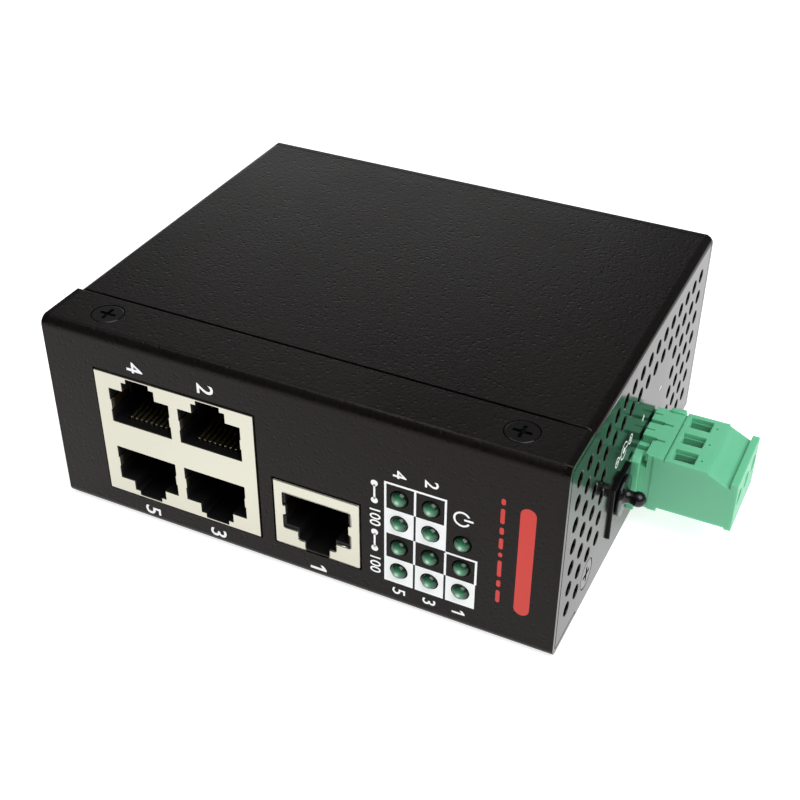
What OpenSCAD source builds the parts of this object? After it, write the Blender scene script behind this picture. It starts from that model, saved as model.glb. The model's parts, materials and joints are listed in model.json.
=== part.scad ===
// Five-port network switch for a DIN rail, lying on one of its big faces.
// The origin is the middle of the housing's lower big face. The ports face -Y,
// the power connectors +X and the rail clip +Y. Lengths are in millimetres.
// Most pieces are placed from the housing's front left corner: X to the right,
// Y to the rear, Z up. from_corner() carries them to the origin.

/* [Housing] */
// Width of the housing, along the ports
case_w = 95; // [92:1:110]
// Depth of the housing, from the port face to the rear face
case_d = 78.5; // [77:0.5:95]
// Height of the housing as it lies
case_h = 38.5; // [37:0.5:46]
// Thickness of the steel sheet
sheet = 1; // [0.8:0.1:1.2]
// Inside radius of the long bends
bend_in = 0.7; // [0.3:0.1:1]
// Depth of the front shell's flanges
flange_d = 10.7; // [10:0.1:13]
// Gap between sheets that lap or butt
lap = 0.15; // [0.1:0.05:0.3]
// Distance from the housing's side to a joggled tongue
tongue_inset = 5; // [4:0.5:6]
// Distance from the port panel to a tongue's front edge
tongue_gap = 1.6; // [1:0.1:2]
// How far a joggle's slope leans to the rear past the seam
joggle_run = 0.2; // [0.1:0.05:0.6]

/* [Vents] */
// Diameter of a vent hole
vent_d = 2.5; // [2:0.1:3]
// Distance between vent holes, both ways
vent_pitch = 4.45; // [4.2:0.05:5.5]
// Distance from the housing's front and top to the first holes
vent_edge = 5.25; // [5:0.05:7]
// Least height of a vent hole's middle above the lower face
vent_low = 5; // [4.5:0.5:8]
// Distance that hole middles keep from the power connectors' cut-out
vent_keep = 3.2; // [3:0.1:6]
// Height of the plain field above the power connectors
plain_h = 6; // [5:0.5:8]
// Least sheet between a vent hole and a screw's head
vent_web = 0.8; // [0.5:0.1:1]

/* [Screws] */
// Shank diameter of the housing screws
screw_d = 3; // [2.5:0.5:3]
// Head diameter of the housing screws
head_d = 5.6; // [5.2:0.1:6]
// Length of the countersunk housing screws
screw_len = 3; // [2.8:0.1:3.2]
// Radial clearance round a screw
screw_clear = 0.1; // [0.05:0.05:0.15]
// Length of the drawn collars that take the housing screws
collar_h = 1.2; // [1:0.1:1.3]
// Wall of the drawn collars
collar_wall = 0.9; // [0.8:0.1:1.2]
// Distance from the housing's side to a flange screw
flange_screw_x = 9.8; // [9:0.1:14]
// Distance from the port face to a flange screw
flange_screw_y = 5.85; // [5.5:0.05:6.2]
// Distance from the front shell's seam to a front side screw
side_screw_in = 4.15; // [4.1:0.05:6]
// Distance from the rear face to a rear side screw
side_screw_rear = 17.5; // [15:0.5:20]
// Height of a side screw
side_screw_z = 6; // [5.5:0.1:7]
// Width of a tab that takes a side screw
tab_w = 8; // [7:0.5:8]
// Height of a tab that takes a side screw
tab_h = 12; // [10:0.5:14]

/* [Circuit board] */
// Thickness of the board
board_t = 1.6; // [1.4:0.1:1.8]
// Height of the board above the base
standoff_h = 2.7; // [2.6:0.1:3.5]
// Width of a standoff across its flats
standoff_af = 5; // [4.6:0.1:5.4]
// Gap between the board and the collars at the housing's sides
board_gap = 0.65; // [0.5:0.05:1]
// Gap between the port panel and the board
board_front = 1; // [0.8:0.1:1.5]
// Gap between the rear plate and the board
board_rear = 3; // [2.6:0.1:4]
// Distance from the board's side edge to a standoff
standoff_in = 4.5; // [4:0.1:5]
// Distance from the port face to the left front standoff
standoff_left_y = 34; // [32:0.5:36]
// Distance from the port face to the right front standoff
standoff_right_y = 16; // [15:0.5:17]
// Length of a board screw under its head
board_screw_len = 4; // [3.5:0.1:4.2]
// Height of a board screw's head
board_head_h = 1.9; // [1.6:0.1:2.2]

/* [Port jacks] */
// Sheet thickness of the jacks' shields
shield_t = 0.25; // [0.2:0.05:0.3]
// How far the jacks stand out of the port panel
jack_proud = 0.2; // [0:0.1:0.4]
// Gap between a jack and its cut-out
jack_gap = 0.3; // [0.2:0.05:0.4]
// Gap between a shield and the plastic inside
jack_fit = 0.05; // [0.05:0.05:0.1]
// Middle of the stacked jack, from the housing's left side
stack_x = 25.7; // [25:0.1:26]
// Width of the stacked jack
stack_w = 31.3; // [31:0.1:31.6]
// Height of the stacked jack
stack_h = 25.6; // [25.4:0.1:26.4]
// Depth of the stacked jack
stack_depth = 26; // [25:0.5:28]
// Distance between the stacked jack's columns of ports
port_pitch = 13.95; // [13.8:0.05:14.1]
// Distance from the stacked jack's middle to its ports
row_gap = 2.75; // [2.6:0.05:2.8]
// Middle of the single jack, from the housing's left side
single_x = 52.5; // [52:0.1:54]
// Width of the single jack
single_w = 16.1; // [16:0.1:16.4]
// Height of the single jack
single_h = 13.7; // [13.6:0.1:14]
// Depth of the single jack
single_depth = 16.5; // [16:0.5:21]
// Height of the single jack's underside above the board
single_lift = 0.3; // [0.1:0.05:0.4]
// Distance from the single jack's top to its port
single_brow = 2.35; // [2.2:0.05:2.5]
// Width of a port's cavity in the plastic
cavity_w = 11.9; // [11.85:0.05:12]
// Height of a port's cavity in the plastic
cavity_h = 6.9; // [6.8:0.05:7]
// Depth of a port's cavity
cavity_depth = 15; // [14:0.5:15.5]
// Clear width between a port's two grounding springs
spring_clear = 11.8; // [11.75:0.05:11.85]
// Distance between contact wires
wire_pitch = 1.02; // [1:0.01:1.04]
// Width of a contact wire
wire_w = 0.45; // [0.4:0.05:0.5]

/* [Indicators] */
// Middle of the first column of lamps, from the housing's left side
lamp_x = 67.7; // [67.5:0.1:69]
// Distance between columns of lamps
lamp_pitch_x = 5.5; // [5.2:0.1:5.8]
// Height of the lowest row of lamps above the board
lamp_z = 2.65; // [2.6:0.05:3]
// Distance between rows of lamps
lamp_pitch_z = 5.1; // [5:0.05:5.4]
// Diameter of a lamp
lamp_d = 3; // [2.8:0.1:3.1]
// How far a lamp stands out of the port panel
lamp_proud = 1.1; // [0.8:0.1:1.4]
// Radial clearance round a lamp
lamp_clear = 0.1; // [0.05:0.05:0.15]
// Distance between a lamp's two leads
lead_pitch = 2.54; // [2.4:0.02:2.54]
// Width of a lamp's square leads
lead_w = 0.5; // [0.4:0.05:0.55]

/* [Power jack] */
// Middle of the power jack, from the port face
jack_y = 30.1; // [29.5:0.1:30.3]
// Height of the power jack's axis above the board
jack_axis_h = 6.8; // [6.6:0.1:7]
// Width of the power jack
jack_w = 9; // [8.8:0.1:9.2]
// Height of the power jack
jack_h = 10.7; // [10.6:0.1:11]
// Length of the power jack
jack_len = 14.2; // [14:0.1:14.6]
// How far the power jack stands out of the housing
jack_out = 0.55; // [0.4:0.05:1.2]
// Diameter of the power jack's bore
jack_bore_d = 6.4; // [6.3:0.1:6.5]
// Depth of the power jack's bore
jack_bore_len = 9.6; // [9:0.1:10]
// Diameter of the power jack's centre pin
jack_pin_d = 2; // [1.9:0.1:2.1]
// Shank diameter of the dust plug
dust_d = 5.8; // [5.7:0.1:5.9]
// Shank length of the dust plug
dust_len = 7; // [6:0.5:8]
// Flange diameter of the dust plug
dust_flange_d = 7.6; // [7.4:0.1:8]
// Flange thickness of the dust plug
dust_flange_t = 0.5; // [0.4:0.1:0.9]
// Gap between the power jack's face and the dust plug's flange
dust_gap = 0.15; // [0.05:0.05:0.8]
// Diameter of the dust plug's stem
stem_d = 2.2; // [2:0.1:2.5]
// Diameter of the ball at the stem's end
ball_d = 2.8; // [2.6:0.1:3.4]
// How far the ball stands out of the power jack
nub_out = 4.4; // [4:0.1:5]

/* [Terminal block] */
// Middle of the terminal block, from the port face
block_y = 43.5; // [43.4:0.1:44]
// Distance between poles
pole_pitch = 5.08; // [5:0.02:5.08]
// Length of the header
header_len = 12; // [11.5:0.5:12.5]
// Height of the header
header_h = 10.4; // [10.3:0.1:10.6]
// How far the header stands out of the housing
header_out = 1.75; // [1.5:0.05:2]
// Wall of the header's sides
header_side = 0.95; // [0.85:0.05:1]
// Wall of the header's floor and roof
header_wall = 1.25; // [1.1:0.05:1.3]
// Clearance between the plug's nose and the header
nose_clear = 0.12; // [0.1:0.02:0.2]
// Gap between the header's rim and the plug's shoulder
shoulder_gap = 1.05; // [0.9:0.05:1.2]
// Length of the plug outside its shoulder
plug_len = 16; // [16:0.1:17]
// Height of the plug's top above the board
plug_h = 12; // [11.9:0.1:12.4]
// Width of a square contact pin
pin_w = 1; // [0.9:0.05:1.1]
// Shank diameter of a terminal screw
clamp_screw_d = 2.4; // [2.2:0.1:2.5]
// Head diameter of a terminal screw
clamp_head_d = 3.8; // [3.6:0.1:4]
// Radial running clearance of a terminal screw in its cage
clamp_run = 0.05; // [0.04:0.01:0.08]
// Length of a wire entry
entry_len = 3.6; // [3.4:0.1:3.7]
// Width of a wire entry
entry_w = 2.85; // [2.7:0.05:2.9]

/* [Rail clip] */
// Width of the rail that the clip takes
rail_w = 35; // [35]
// Thickness of the rail's edges that the clip takes
rail_t = 1.3; // [1.2:0.1:1.5]
// Width of the clip's plate along the rail
clip_w = 23; // [22:0.5:25]
// Thickness of the clip's plate
clip_t = 5.2; // [5:0.1:5.4]
// Thickness of the hooks behind the rail
hook_t = 2; // [1.8:0.1:2.2]
// How far the hooks reach behind the rail
hook_grip = 1.9; // [1.6:0.1:2.1]
// Width of the latch along the rail
latch_w = 10; // [9:0.5:10.5]
// Thickness of the latch's bar
latch_t = 3.2; // [3:0.1:3.3]
// Clearance round the latch
latch_clear = 0.15; // [0.1:0.05:0.2]
// Travel of the latch
latch_travel = 3; // [2.5:0.1:3.2]
// Length of the latch spring at rest
coil_len = 6.6; // [6:0.1:7]

/* [Hidden] */
$fn = 48;

// Finishes
coat = "#2c2b2c";
bright = "#d9d5c6";
zinc = "#b9bcc0";
gold = "#c9a24a";
tin = "#c4c6c8";
moulding = "#1c1c1e";
rubber = "#17171a";
board_green = "#1f5a3c";
block_green = "#6cc195";
lamp_green = "#2f7a49";
ceramic = "#b09a7c";

// Sheet metal
bend_out = sheet + bend_in;
corner_lap = max(lap, 0.35 * bend_in);
drop = sheet + lap;
seam_y = flange_d + lap;
hole_r = screw_d / 2 + screw_clear;
collar_r = hole_r + collar_wall;
side_screw_ys = [seam_y + side_screw_in, case_d - side_screw_rear];
flange_screw_xs = [flange_screw_x, case_w - flange_screw_x];

// Circuit board
board_z = sheet + standoff_h;
board_top = board_z + board_t;
board_x = 2 * sheet + lap + collar_h + board_gap;
board_y = sheet + board_front;
board_w = case_w - 2 * board_x;
board_d = case_d - board_y - sheet - board_rear;
standoff_spots = [
  [board_x + standoff_in, standoff_left_y],
  [board_x + standoff_in, board_y + board_d - standoff_in],
  [case_w - board_x - standoff_in, standoff_right_y],
  [case_w - board_x - standoff_in, board_y + board_d - standoff_in]
];

// Ports: middle, height of the contact side, and the way to the latch notch.
// The opening in the shield is width, height, then two steps of the notch.
stack_mid = board_top + stack_h / 2;
stack_ports = [
  for (column = [-1, 1], row = [-1, 1])
    [stack_x + column * port_pitch / 2, stack_mid + row * row_gap, row]
];
single_z = board_top + single_lift;
single_port = [single_x, single_z + single_h - single_brow, -1];
stack_opening = [12.15, 7, 6.55, 1.9, 4.6, stack_h / 2 - row_gap - 8.9 - shield_t];
single_opening = [12.8, 7.6, 7.2, 1.8, 4.6, single_h - single_brow - 9.4 - 0.3];
jack_pin_len = 2.4;
stack_pin_spots = [
  for (row = [0:3], column = [0:7])
    [stack_x + (column - 3.5) * 3.4, 12 + row * 2.54]
];
single_pin_spots = [
  for (column = [0:7])
    [single_x + (column - 3.5) * 1.27, 9 + (column % 2) * 2.54]
];

// Lamps: three columns, of which the last has one lamp less
lamp_r = lamp_d / 2;
lamp_flange_r = lamp_r + 0.4;
lamp_body_end = lamp_r - lamp_proud + 3.8;
holder_y = sheet + 0.3;
holder_depth = 6.2;
lamp_spots = [
  for (column = [0:2], row = [0:(column == 2 ? 2 : 3)])
    [lamp_x + column * lamp_pitch_x, board_top + lamp_z + row * lamp_pitch_z, row]
];
lead_first_y = holder_y + holder_depth + 1.1;
lead_step_y = 1.1;
lead_spots = [
  for (spot = lamp_spots, side = [-1, 1])
    [spot[0] + side * lead_pitch / 2, lead_first_y + spot[2] * lead_step_y]
];

// Power jack
jack_face = case_w + jack_out;
jack_z = board_top + jack_axis_h;
jack_tail = jack_face - jack_len;
jack_legs = [
  [jack_tail + 0.6, jack_y],
  [jack_tail + 4, jack_y],
  [jack_tail + 7, jack_y + 3.6]
];

// Terminal block. The plug's nose slides in the header's cavity.
poles = 3;
pole_ys = [for (i = [0:poles - 1]) block_y + (i - (poles - 1) / 2) * pole_pitch];
plug_half = poles * pole_pitch / 2;
nose_half = plug_half - 0.22;
cavity_half = nose_half + nose_clear;
header_half = cavity_half + header_side;
header_rim = case_w + header_out;
header_x = header_rim - header_len;
header_back = 3.5;
header_floor = board_top + header_wall;
header_roof = board_top + header_h - header_wall;
pin_z = (header_floor + header_roof) / 2;
pin_tip = header_rim - 2.2;
pin_leg_x = header_x - 0.9;
shoulder = header_rim + shoulder_gap;
nose_tip = header_x + header_back + 0.4;
plug_end = shoulder + plug_len;
plug_top = board_top + plug_h;
rib_w = 1.5;
entry_x = shoulder + 4;
clamp_z = board_top + 6.9;
cage_wall = 0.7;
cage_side = 0.35;
cage_gap = 3;
cage_nut = 1.2;
cage_h = 5.6;
cage_half = clamp_screw_d / 2 + clamp_run + cage_side;
cage_x = entry_x - cage_wall;
bar_x = entry_x + cage_gap;
bar_t = 0.7;
nut_x = bar_x + bar_t + 0.1;
cage_travel = 2.5;
cage_room_end = nut_x + cage_nut + cage_travel + 0.2;
head_room_len = 2.1;
screw_tip = bar_x + bar_t + 0.08;
strip_z = board_top + 2.9;
strip_t = 0.5;
strip_half = 1;

// Rail clip, measured from the middle of the rear face
clip_z = case_h / 2;
clip_mid = case_w / 2;
seat_y = case_d + clip_t;
hook_y = seat_y + rail_t;
rail_half = rail_w / 2;
post_x = rail_half + 0.2;
post_len = 4.1;
tip_x = rail_half - hook_grip;
clip_right = post_x + post_len;
clip_left = -post_x - post_len - latch_travel - 2.2;
channel_end = 0.4;
slot_x = -11;
slot_len = 9;
peg_x = slot_x + 0.4;
coil_x = slot_x + slot_len - coil_len;
coil_r = 1.05;
coil_wire_r = 0.2;
coil_turns = 6;
pull_len = 5;
rail_screw_len = clip_t + sheet + 0.8;
rail_screw_spots = [[9, 0], [-13, 8], [-13, -8]];

// ---- placing and profiles ----

module from_corner() {
  translate([-case_w / 2, -case_d / 2, 0])
    children();
}

// A flat outline in X and Z, drawn back from y for len
module along_y(y, len) {
  translate([0, y + len, 0])
    rotate([90, 0, 0])
      linear_extrude(len)
        children();
}

// A flat outline in Y and Z, drawn right from x for len
module along_x(x, len) {
  translate([x, 0, 0])
    rotate([90, 0, 90])
      linear_extrude(len)
        children();
}

module along_z(z, len) {
  translate([0, 0, z])
    linear_extrude(len)
      children();
}

module rounded_rect(w, h, r) {
  translate([r, 0])
    square([w - 2 * r, h]);
  translate([0, r])
    square([w, h - 2 * r]);
  for (x = [r, w - r], y = [r, h - r])
    translate([x, y])
      circle(r);
}

// A rod along +X from the point, and the same along +Y
module rod_x(point, r, len) {
  translate(point)
    rotate([0, 90, 0])
      cylinder(r = r, h = len);
}

module rod_y(point, r, len) {
  translate(point)
    rotate([-90, 0, 0])
      cylinder(r = r, h = len);
}

// A cuboid centred on x and y, standing on z
module block(x, y, z, size) {
  translate([x - size[0] / 2, y - size[1] / 2, z])
    cube(size);
}

// ---- screws ----

// A countersunk head's cone and shank, with the head's top at z = 0
module countersunk(r, head_r, len) {
  cone_h = head_r - r;
  translate([0, 0, -len])
    cylinder(r = r, h = len);
  translate([0, 0, -0.15 - cone_h])
    cylinder(r1 = r, r2 = head_r, h = cone_h);
  translate([0, 0, -0.15])
    cylinder(r = head_r, h = 0.15);
}

// The cross recess that a driver fits
module cross_recess(wide) {
  for (turn = [0, 90])
    rotate(turn) {
      translate([-wide / 2, -0.32, -0.55])
        cube([wide, 0.64, 0.6]);
      translate([-wide * 0.36, -0.28, -0.95])
        cube([wide * 0.72, 0.56, 1]);
    }
  translate([0, 0, -1.3])
    cylinder(r = 0.55, h = 1.35);
}

module countersunk_screw(len) {
  difference() {
    countersunk(screw_d / 2, head_d / 2, len);
    cross_recess(head_d * 0.56);
  }
}

// What a countersunk screw takes out of the sheets that it holds
module countersink() {
  countersunk(hole_r, head_d / 2 + screw_clear, screw_len + collar_h);
}

module at_flange_screws(top) {
  for (x = flange_screw_xs)
    translate([x, flange_screw_y, top ? case_h : 0])
      rotate([top ? 0 : 180, 0, 0])
        children();
}

module at_side_screws(right) {
  for (y = side_screw_ys)
    translate([right ? case_w : 0, y, side_screw_z])
      rotate([0, right ? 90 : -90, 0])
        children();
}

module at_rail_screws() {
  for (spot = rail_screw_spots)
    translate([clip_mid + spot[0], seat_y, clip_z + spot[1]])
      rotate([-90, 0, 0])
        children();
}

module flange_screws() {
  color(zinc)
    from_corner() {
      at_flange_screws(true)
        countersunk_screw(screw_len);
      at_flange_screws(false)
        countersunk_screw(screw_len);
    }
}

module side_screws() {
  color(zinc)
    from_corner() {
      at_side_screws(true)
        countersunk_screw(screw_len);
      at_side_screws(false)
        countersunk_screw(screw_len);
    }
}

module rail_screws() {
  color(zinc)
    from_corner()
      at_rail_screws()
        countersunk_screw(rail_screw_len);
}

// ---- front shell ----

// A channel's section: web at the left, open to the right
module channel_section(reach, height) {
  difference() {
    intersection() {
      rounded_rect(2 * reach, height, bend_out);
      square([reach, height]);
    }
    translate([sheet, sheet])
      rounded_rect(2 * reach, height - 2 * sheet, bend_in);
  }
}

module port_cut(x, z, w, h) {
  translate([x - w / 2 - jack_gap, -1, z - jack_gap])
    cube([w + 2 * jack_gap, sheet + 2, h + 2 * jack_gap]);
}

module front_shell() {
  color(coat)
    from_corner()
      difference() {
        along_x(0, case_w)
          channel_section(flange_d, case_h);
        port_cut(stack_x, board_top, stack_w, stack_h);
        port_cut(single_x, single_z, single_w, single_h);
        for (spot = lamp_spots)
          rod_y([spot[0], -1, spot[1]], lamp_r + lamp_clear, sheet + 2);
        at_flange_screws(true)
          countersink();
        at_flange_screws(false)
          countersink();
      }
}

// ---- cover ----

module cover_section() {
  difference() {
    intersection() {
      translate([0, -case_h])
        rounded_rect(case_w, 2 * case_h, bend_out);
      square([case_w, case_h]);
    }
    translate([sheet, -case_h])
      rounded_rect(case_w - 2 * sheet, 2 * case_h - sheet, bend_in);
  }
}

// Section of a tongue that steps one sheet under the front shell's flange
module joggle_section() {
  start = seam_y + joggle_run;
  end = flange_d;
  front = sheet + tongue_gap;
  web = 0.8 * sheet;
  polygon([
    [start, 0], [end, -drop], [front, -drop], [front, -drop - sheet],
    [end + web, -drop - sheet], [start + web, -sheet], [start + web, 0]
  ]);
}

module tongue_notch() {
  translate([tongue_inset, seam_y - 1, -sheet - 1])
    cube([case_w - 2 * tongue_inset, joggle_run + 1, sheet + 2]);
}

module tongue() {
  along_x(tongue_inset, case_w - 2 * tongue_inset)
    joggle_section();
}

// A drawn collar under a countersunk screw
module collar(depth) {
  translate([0, 0, -depth - collar_h])
    cylinder(r = collar_r, h = collar_h);
}

// Whether a vent hole at y, z clears the side screws, and the connectors
function clears_screws(y, z) =
  min([for (s = side_screw_ys) norm([y - s, z - side_screw_z])])
    > (head_d + vent_d) / 2 + vent_web;
function clears_connectors(y, z) =
  y < jack_y - jack_w / 2 - vent_keep
    || y > block_y + header_half + vent_keep
    || z > board_top + jack_h + plain_h + vent_keep;
vent_columns = floor((case_d - 2 * vent_edge) / vent_pitch);
vent_rows = floor((case_h - vent_edge - vent_low) / vent_pitch);

module vents(right) {
  for (column = [0:vent_columns], row = [0:vent_rows]) {
    y = vent_edge + column * vent_pitch;
    z = case_h - vent_edge - row * vent_pitch;
    if (clears_screws(y, z) && (!right || clears_connectors(y, z)))
      rod_x([right ? case_w - sheet - 1 : -1, y, z], vent_d / 2, sheet + 2);
  }
}

module side_cut(y, w, h) {
  gap = 0.2;
  translate([case_w - sheet - 1, y - w / 2 - gap, board_top - gap])
    cube([sheet + 2, w + 2 * gap, h + 2 * gap]);
}

module cover() {
  color(coat)
    from_corner()
      difference() {
        union() {
          difference() {
            along_y(seam_y, case_d - sheet - lap - seam_y)
              cover_section();
            translate([0, 0, case_h])
              tongue_notch();
          }
          translate([0, 0, case_h])
            tongue();
          at_flange_screws(true)
            collar(drop + sheet);
          for (x = [0, case_w - sheet])
            translate([x, sheet + corner_lap, sheet + corner_lap])
              cube([sheet, flange_d, case_h - 2 * (sheet + corner_lap)]);
        }
        vents(true);
        vents(false);
        side_cut(jack_y, jack_w, jack_h);
        side_cut(block_y, 2 * header_half, header_h);
        at_flange_screws(true)
          countersink();
        at_side_screws(true)
          countersink();
        at_side_screws(false)
          countersink();
      }
}

// ---- base pan ----

// Floor and rear plate in one section
module base_section() {
  difference() {
    intersection() {
      translate([-case_h, 0])
        rounded_rect(case_d + case_h, 2 * case_h, bend_out);
      translate([seam_y, 0])
        square([case_d - seam_y, case_h]);
    }
    translate([-case_h, sheet])
      rounded_rect(case_d + case_h - sheet, 2 * case_h, bend_in);
  }
}

// The rear plate covers the ends of the cover's top and sides
module rear_outline() {
  intersection() {
    translate([0, -case_h])
      rounded_rect(case_w, 2 * case_h, bend_out);
    union() {
      translate([0, bend_out])
        square([case_w, case_h - bend_out]);
      for (x = [0, case_w - drop])
        translate([x, 0])
          square([drop, case_h]);
    }
  }
}

module side_tabs() {
  for (y = side_screw_ys, x = [drop, case_w - drop - sheet])
    translate([x, y - tab_w / 2, 0])
      cube([sheet, tab_w, tab_h]);
}

module base_pan() {
  color(coat)
    from_corner()
      difference() {
        union() {
          difference() {
            along_x(drop, case_w - 2 * drop)
              base_section();
            mirror([0, 0, 1])
              tongue_notch();
          }
          mirror([0, 0, 1])
            tongue();
          along_y(case_d - sheet, sheet)
            rear_outline();
          side_tabs();
          at_flange_screws(false)
            collar(drop + sheet);
          at_side_screws(true)
            collar(drop + sheet);
          at_side_screws(false)
            collar(drop + sheet);
          at_rail_screws()
            collar(clip_t + sheet);
        }
        for (spot = standoff_spots)
          translate([spot[0], spot[1], -1])
            cylinder(r = spigot_r + 0.05, h = sheet + 2);
        at_flange_screws(false)
          countersink();
        at_side_screws(true)
          countersink();
        at_side_screws(false)
          countersink();
        at_rail_screws()
          translate([0, 0, -rail_screw_len - collar_h])
            cylinder(r = hole_r, h = rail_screw_len + collar_h);
      }
}

// ---- circuit board and what holds it ----

spigot_r = standoff_af / 2 - 0.5;

module circuit_board() {
  color(board_green)
    from_corner()
      along_z(board_z, board_t)
        difference() {
          translate([board_x, board_y])
            square([board_w, board_d]);
          for (spot = standoff_spots)
            translate(spot)
              circle(hole_r);
          for (spot = concat(stack_pin_spots, single_pin_spots, lead_spots))
            translate(spot)
              circle(0.45);
          for (y = pole_ys)
            translate([pin_leg_x, y])
              circle(pin_w * 0.75);
          for (spot = jack_legs)
            translate(spot)
              circle(1.2);
        }
}

module standoffs() {
  color(zinc)
    from_corner()
      for (spot = standoff_spots)
        translate([spot[0], spot[1], 0])
          difference() {
            union() {
              cylinder(r = spigot_r, h = sheet);
              translate([0, 0, sheet])
                cylinder(r = standoff_af / sqrt(3), h = standoff_h, $fn = 6);
            }
            translate([0, 0, -1])
              cylinder(r = hole_r, h = board_z + 2);
          }
}

module board_screws() {
  color(zinc)
    from_corner()
      for (spot = standoff_spots)
        translate([spot[0], spot[1], board_top])
          difference() {
            union() {
              cylinder(r1 = head_d / 2, r2 = head_d / 2 - 0.3, h = board_head_h);
              translate([0, 0, -board_screw_len])
                cylinder(r = screw_d / 2, h = board_screw_len);
            }
            translate([0, 0, board_head_h])
              cross_recess(head_d * 0.56);
          }
}

// ---- port jacks ----

// A port's outline, from its contact side up to its latch notch
module port_outline(size) {
  translate([-size[0] / 2, 0])
    square([size[0], size[1]]);
  translate([-size[2] / 2, 0])
    square([size[2], size[1] + size[3]]);
  translate([-size[4] / 2, 0])
    square([size[4], size[1] + size[3] + size[5]]);
}

// Turns a piece drawn for a port with its latch notch up onto a port
module at_port(port) {
  translate([port[0], -jack_proud, port[1]])
    mirror([0, 0, port[2] > 0 ? 0 : 1])
      children();
}

// A grounding spring: from the shield's front, past the port and back out
module ground_spring(opening) {
  near = spring_clear / 2;
  far = cavity_w / 2 + 0.3;
  for (side = [0, 1])
    mirror([side, 0, 0])
      translate([0, 0, opening[1] / 2 - 1])
        linear_extrude(2)
          polygon([
            [opening[0] / 2 + 0.4, 0], [near, 0], [near, 1.2], [far, 5.4],
            [far + 0.25, 5.3], [near + shield_t, 1.1], [near + shield_t, shield_t],
            [opening[0] / 2 + 0.4, shield_t]
          ]);
}

module shield(x, z, w, h, depth, ports, opening) {
  difference() {
    block(x, depth / 2 - jack_proud, z, [w, depth, h]);
    block(x, depth / 2 - jack_proud, z - 1,
      [w - 2 * shield_t, depth - 2 * shield_t, h + 1 - shield_t]);
    for (port = ports)
      at_port(port)
        along_y(-1, shield_t + 2)
          port_outline(opening);
  }
  for (port = ports)
    at_port(port)
      ground_spring(opening);
}

// The plastic inside a shield, with a cavity for each port's plug
module jack_housing(x, z, w, h, depth, ports, opening) {
  skin = shield_t + jack_fit;
  cavity = [cavity_w, cavity_h, opening[2] - 0.2, opening[3] + opening[1] - cavity_h,
    opening[4], opening[5]];
  difference() {
    block(x, depth / 2 - jack_proud, z, [w - 2 * skin, depth - 2 * skin, h - skin]);
    for (port = ports)
      at_port(port) {
        along_y(-1, cavity_depth + 1)
          port_outline(cavity);
        translate([-cavity_w / 2 - 0.65, -1, opening[1] / 2 - 1.3])
          cube([cavity_w + 1.3, 6.8, 2.6]);
        translate([-4.5, 1.9, -0.9])
          cube([9, 0.6, 1]);
      }
  }
}

// Eight sprung wires that rise from the contact side of a port
module contact_wires() {
  for (wire = [0:7])
    translate([(wire - 3.5) * wire_pitch - wire_w / 2, 0, 0])
      rotate([90, 0, 90])
        linear_extrude(wire_w)
          polygon([
            [2, -0.7], [2.35, -0.7], [2.35, 0.1], [5, 0.3], [9.6, 2.05], [9.5, 2.35],
            [4.9, 0.6], [2, 0.35]
          ]);
}

module stack_shield() {
  color(bright)
    from_corner()
      shield(stack_x, board_top, stack_w, stack_h, stack_depth, stack_ports, stack_opening);
}

module stack_housing() {
  color(moulding)
    from_corner()
      jack_housing(stack_x, board_top, stack_w, stack_h, stack_depth, stack_ports,
        stack_opening);
}

module stack_contacts() {
  color(gold)
    from_corner()
      for (port = stack_ports)
        at_port(port)
          contact_wires();
}

module single_shield() {
  color(bright)
    from_corner()
      shield(single_x, single_z, single_w, single_h, single_depth, [single_port],
        single_opening);
}

module single_housing() {
  color(moulding)
    from_corner()
      jack_housing(single_x, single_z, single_w, single_h, single_depth, [single_port],
        single_opening);
}

module single_contacts() {
  color(gold)
    from_corner()
      at_port(single_port)
        contact_wires();
}

// Solder pins that go down through the board
module jack_pins() {
  color(tin)
    from_corner() {
      for (spot = stack_pin_spots)
        block(spot[0], spot[1], board_top - jack_pin_len, [0.5, 0.5, jack_pin_len]);
      for (spot = single_pin_spots)
        block(spot[0], spot[1], board_top - jack_pin_len,
          [0.5, 0.5, jack_pin_len + single_lift]);
    }
}

// ---- lamps ----

module lamps() {
  color(lamp_green)
    from_corner()
      for (spot = lamp_spots)
        translate([spot[0], 0, spot[1]]) {
          translate([0, lamp_r - lamp_proud, 0])
            sphere(lamp_r);
          rod_y([0, lamp_r - lamp_proud, 0], lamp_r, lamp_body_end - lamp_r + lamp_proud);
          rod_y([0, lamp_body_end - 1, 0], lamp_flange_r, 1);
        }
}

// One tower for each column, bored for its lamps from the rear
module lamp_holders() {
  tower_w = lamp_pitch_x - 0.6;
  color(moulding)
    from_corner()
      difference() {
        for (column = [0:2]) {
          top_row = column == 2 ? 2 : 3;
          block(lamp_x + column * lamp_pitch_x, holder_y + holder_depth / 2, board_top,
            [tower_w, holder_depth, lamp_z + top_row * lamp_pitch_z + 2.4]);
        }
        for (spot = lamp_spots) {
          rod_y([spot[0], holder_y - 1, spot[1]], lamp_r + lamp_clear / 2, holder_depth);
          rod_y([spot[0], lamp_body_end - 1.05, spot[1]], lamp_flange_r + lamp_clear,
            holder_depth);
        }
      }
}

module lamp_leads() {
  color(tin)
    from_corner()
      for (spot = lamp_spots, side = [-1, 1]) {
        x = spot[0] + side * lead_pitch / 2;
        y = lead_first_y + spot[2] * lead_step_y;
        bottom = board_z - 1;
        translate([x - lead_w / 2, lamp_body_end, spot[1] - lead_w / 2])
          cube([lead_w, y + lead_w / 2 - lamp_body_end, lead_w]);
        block(x, y, bottom, [lead_w, lead_w, spot[1] + lead_w / 2 - bottom]);
      }
}

// ---- parts on the board ----

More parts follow.
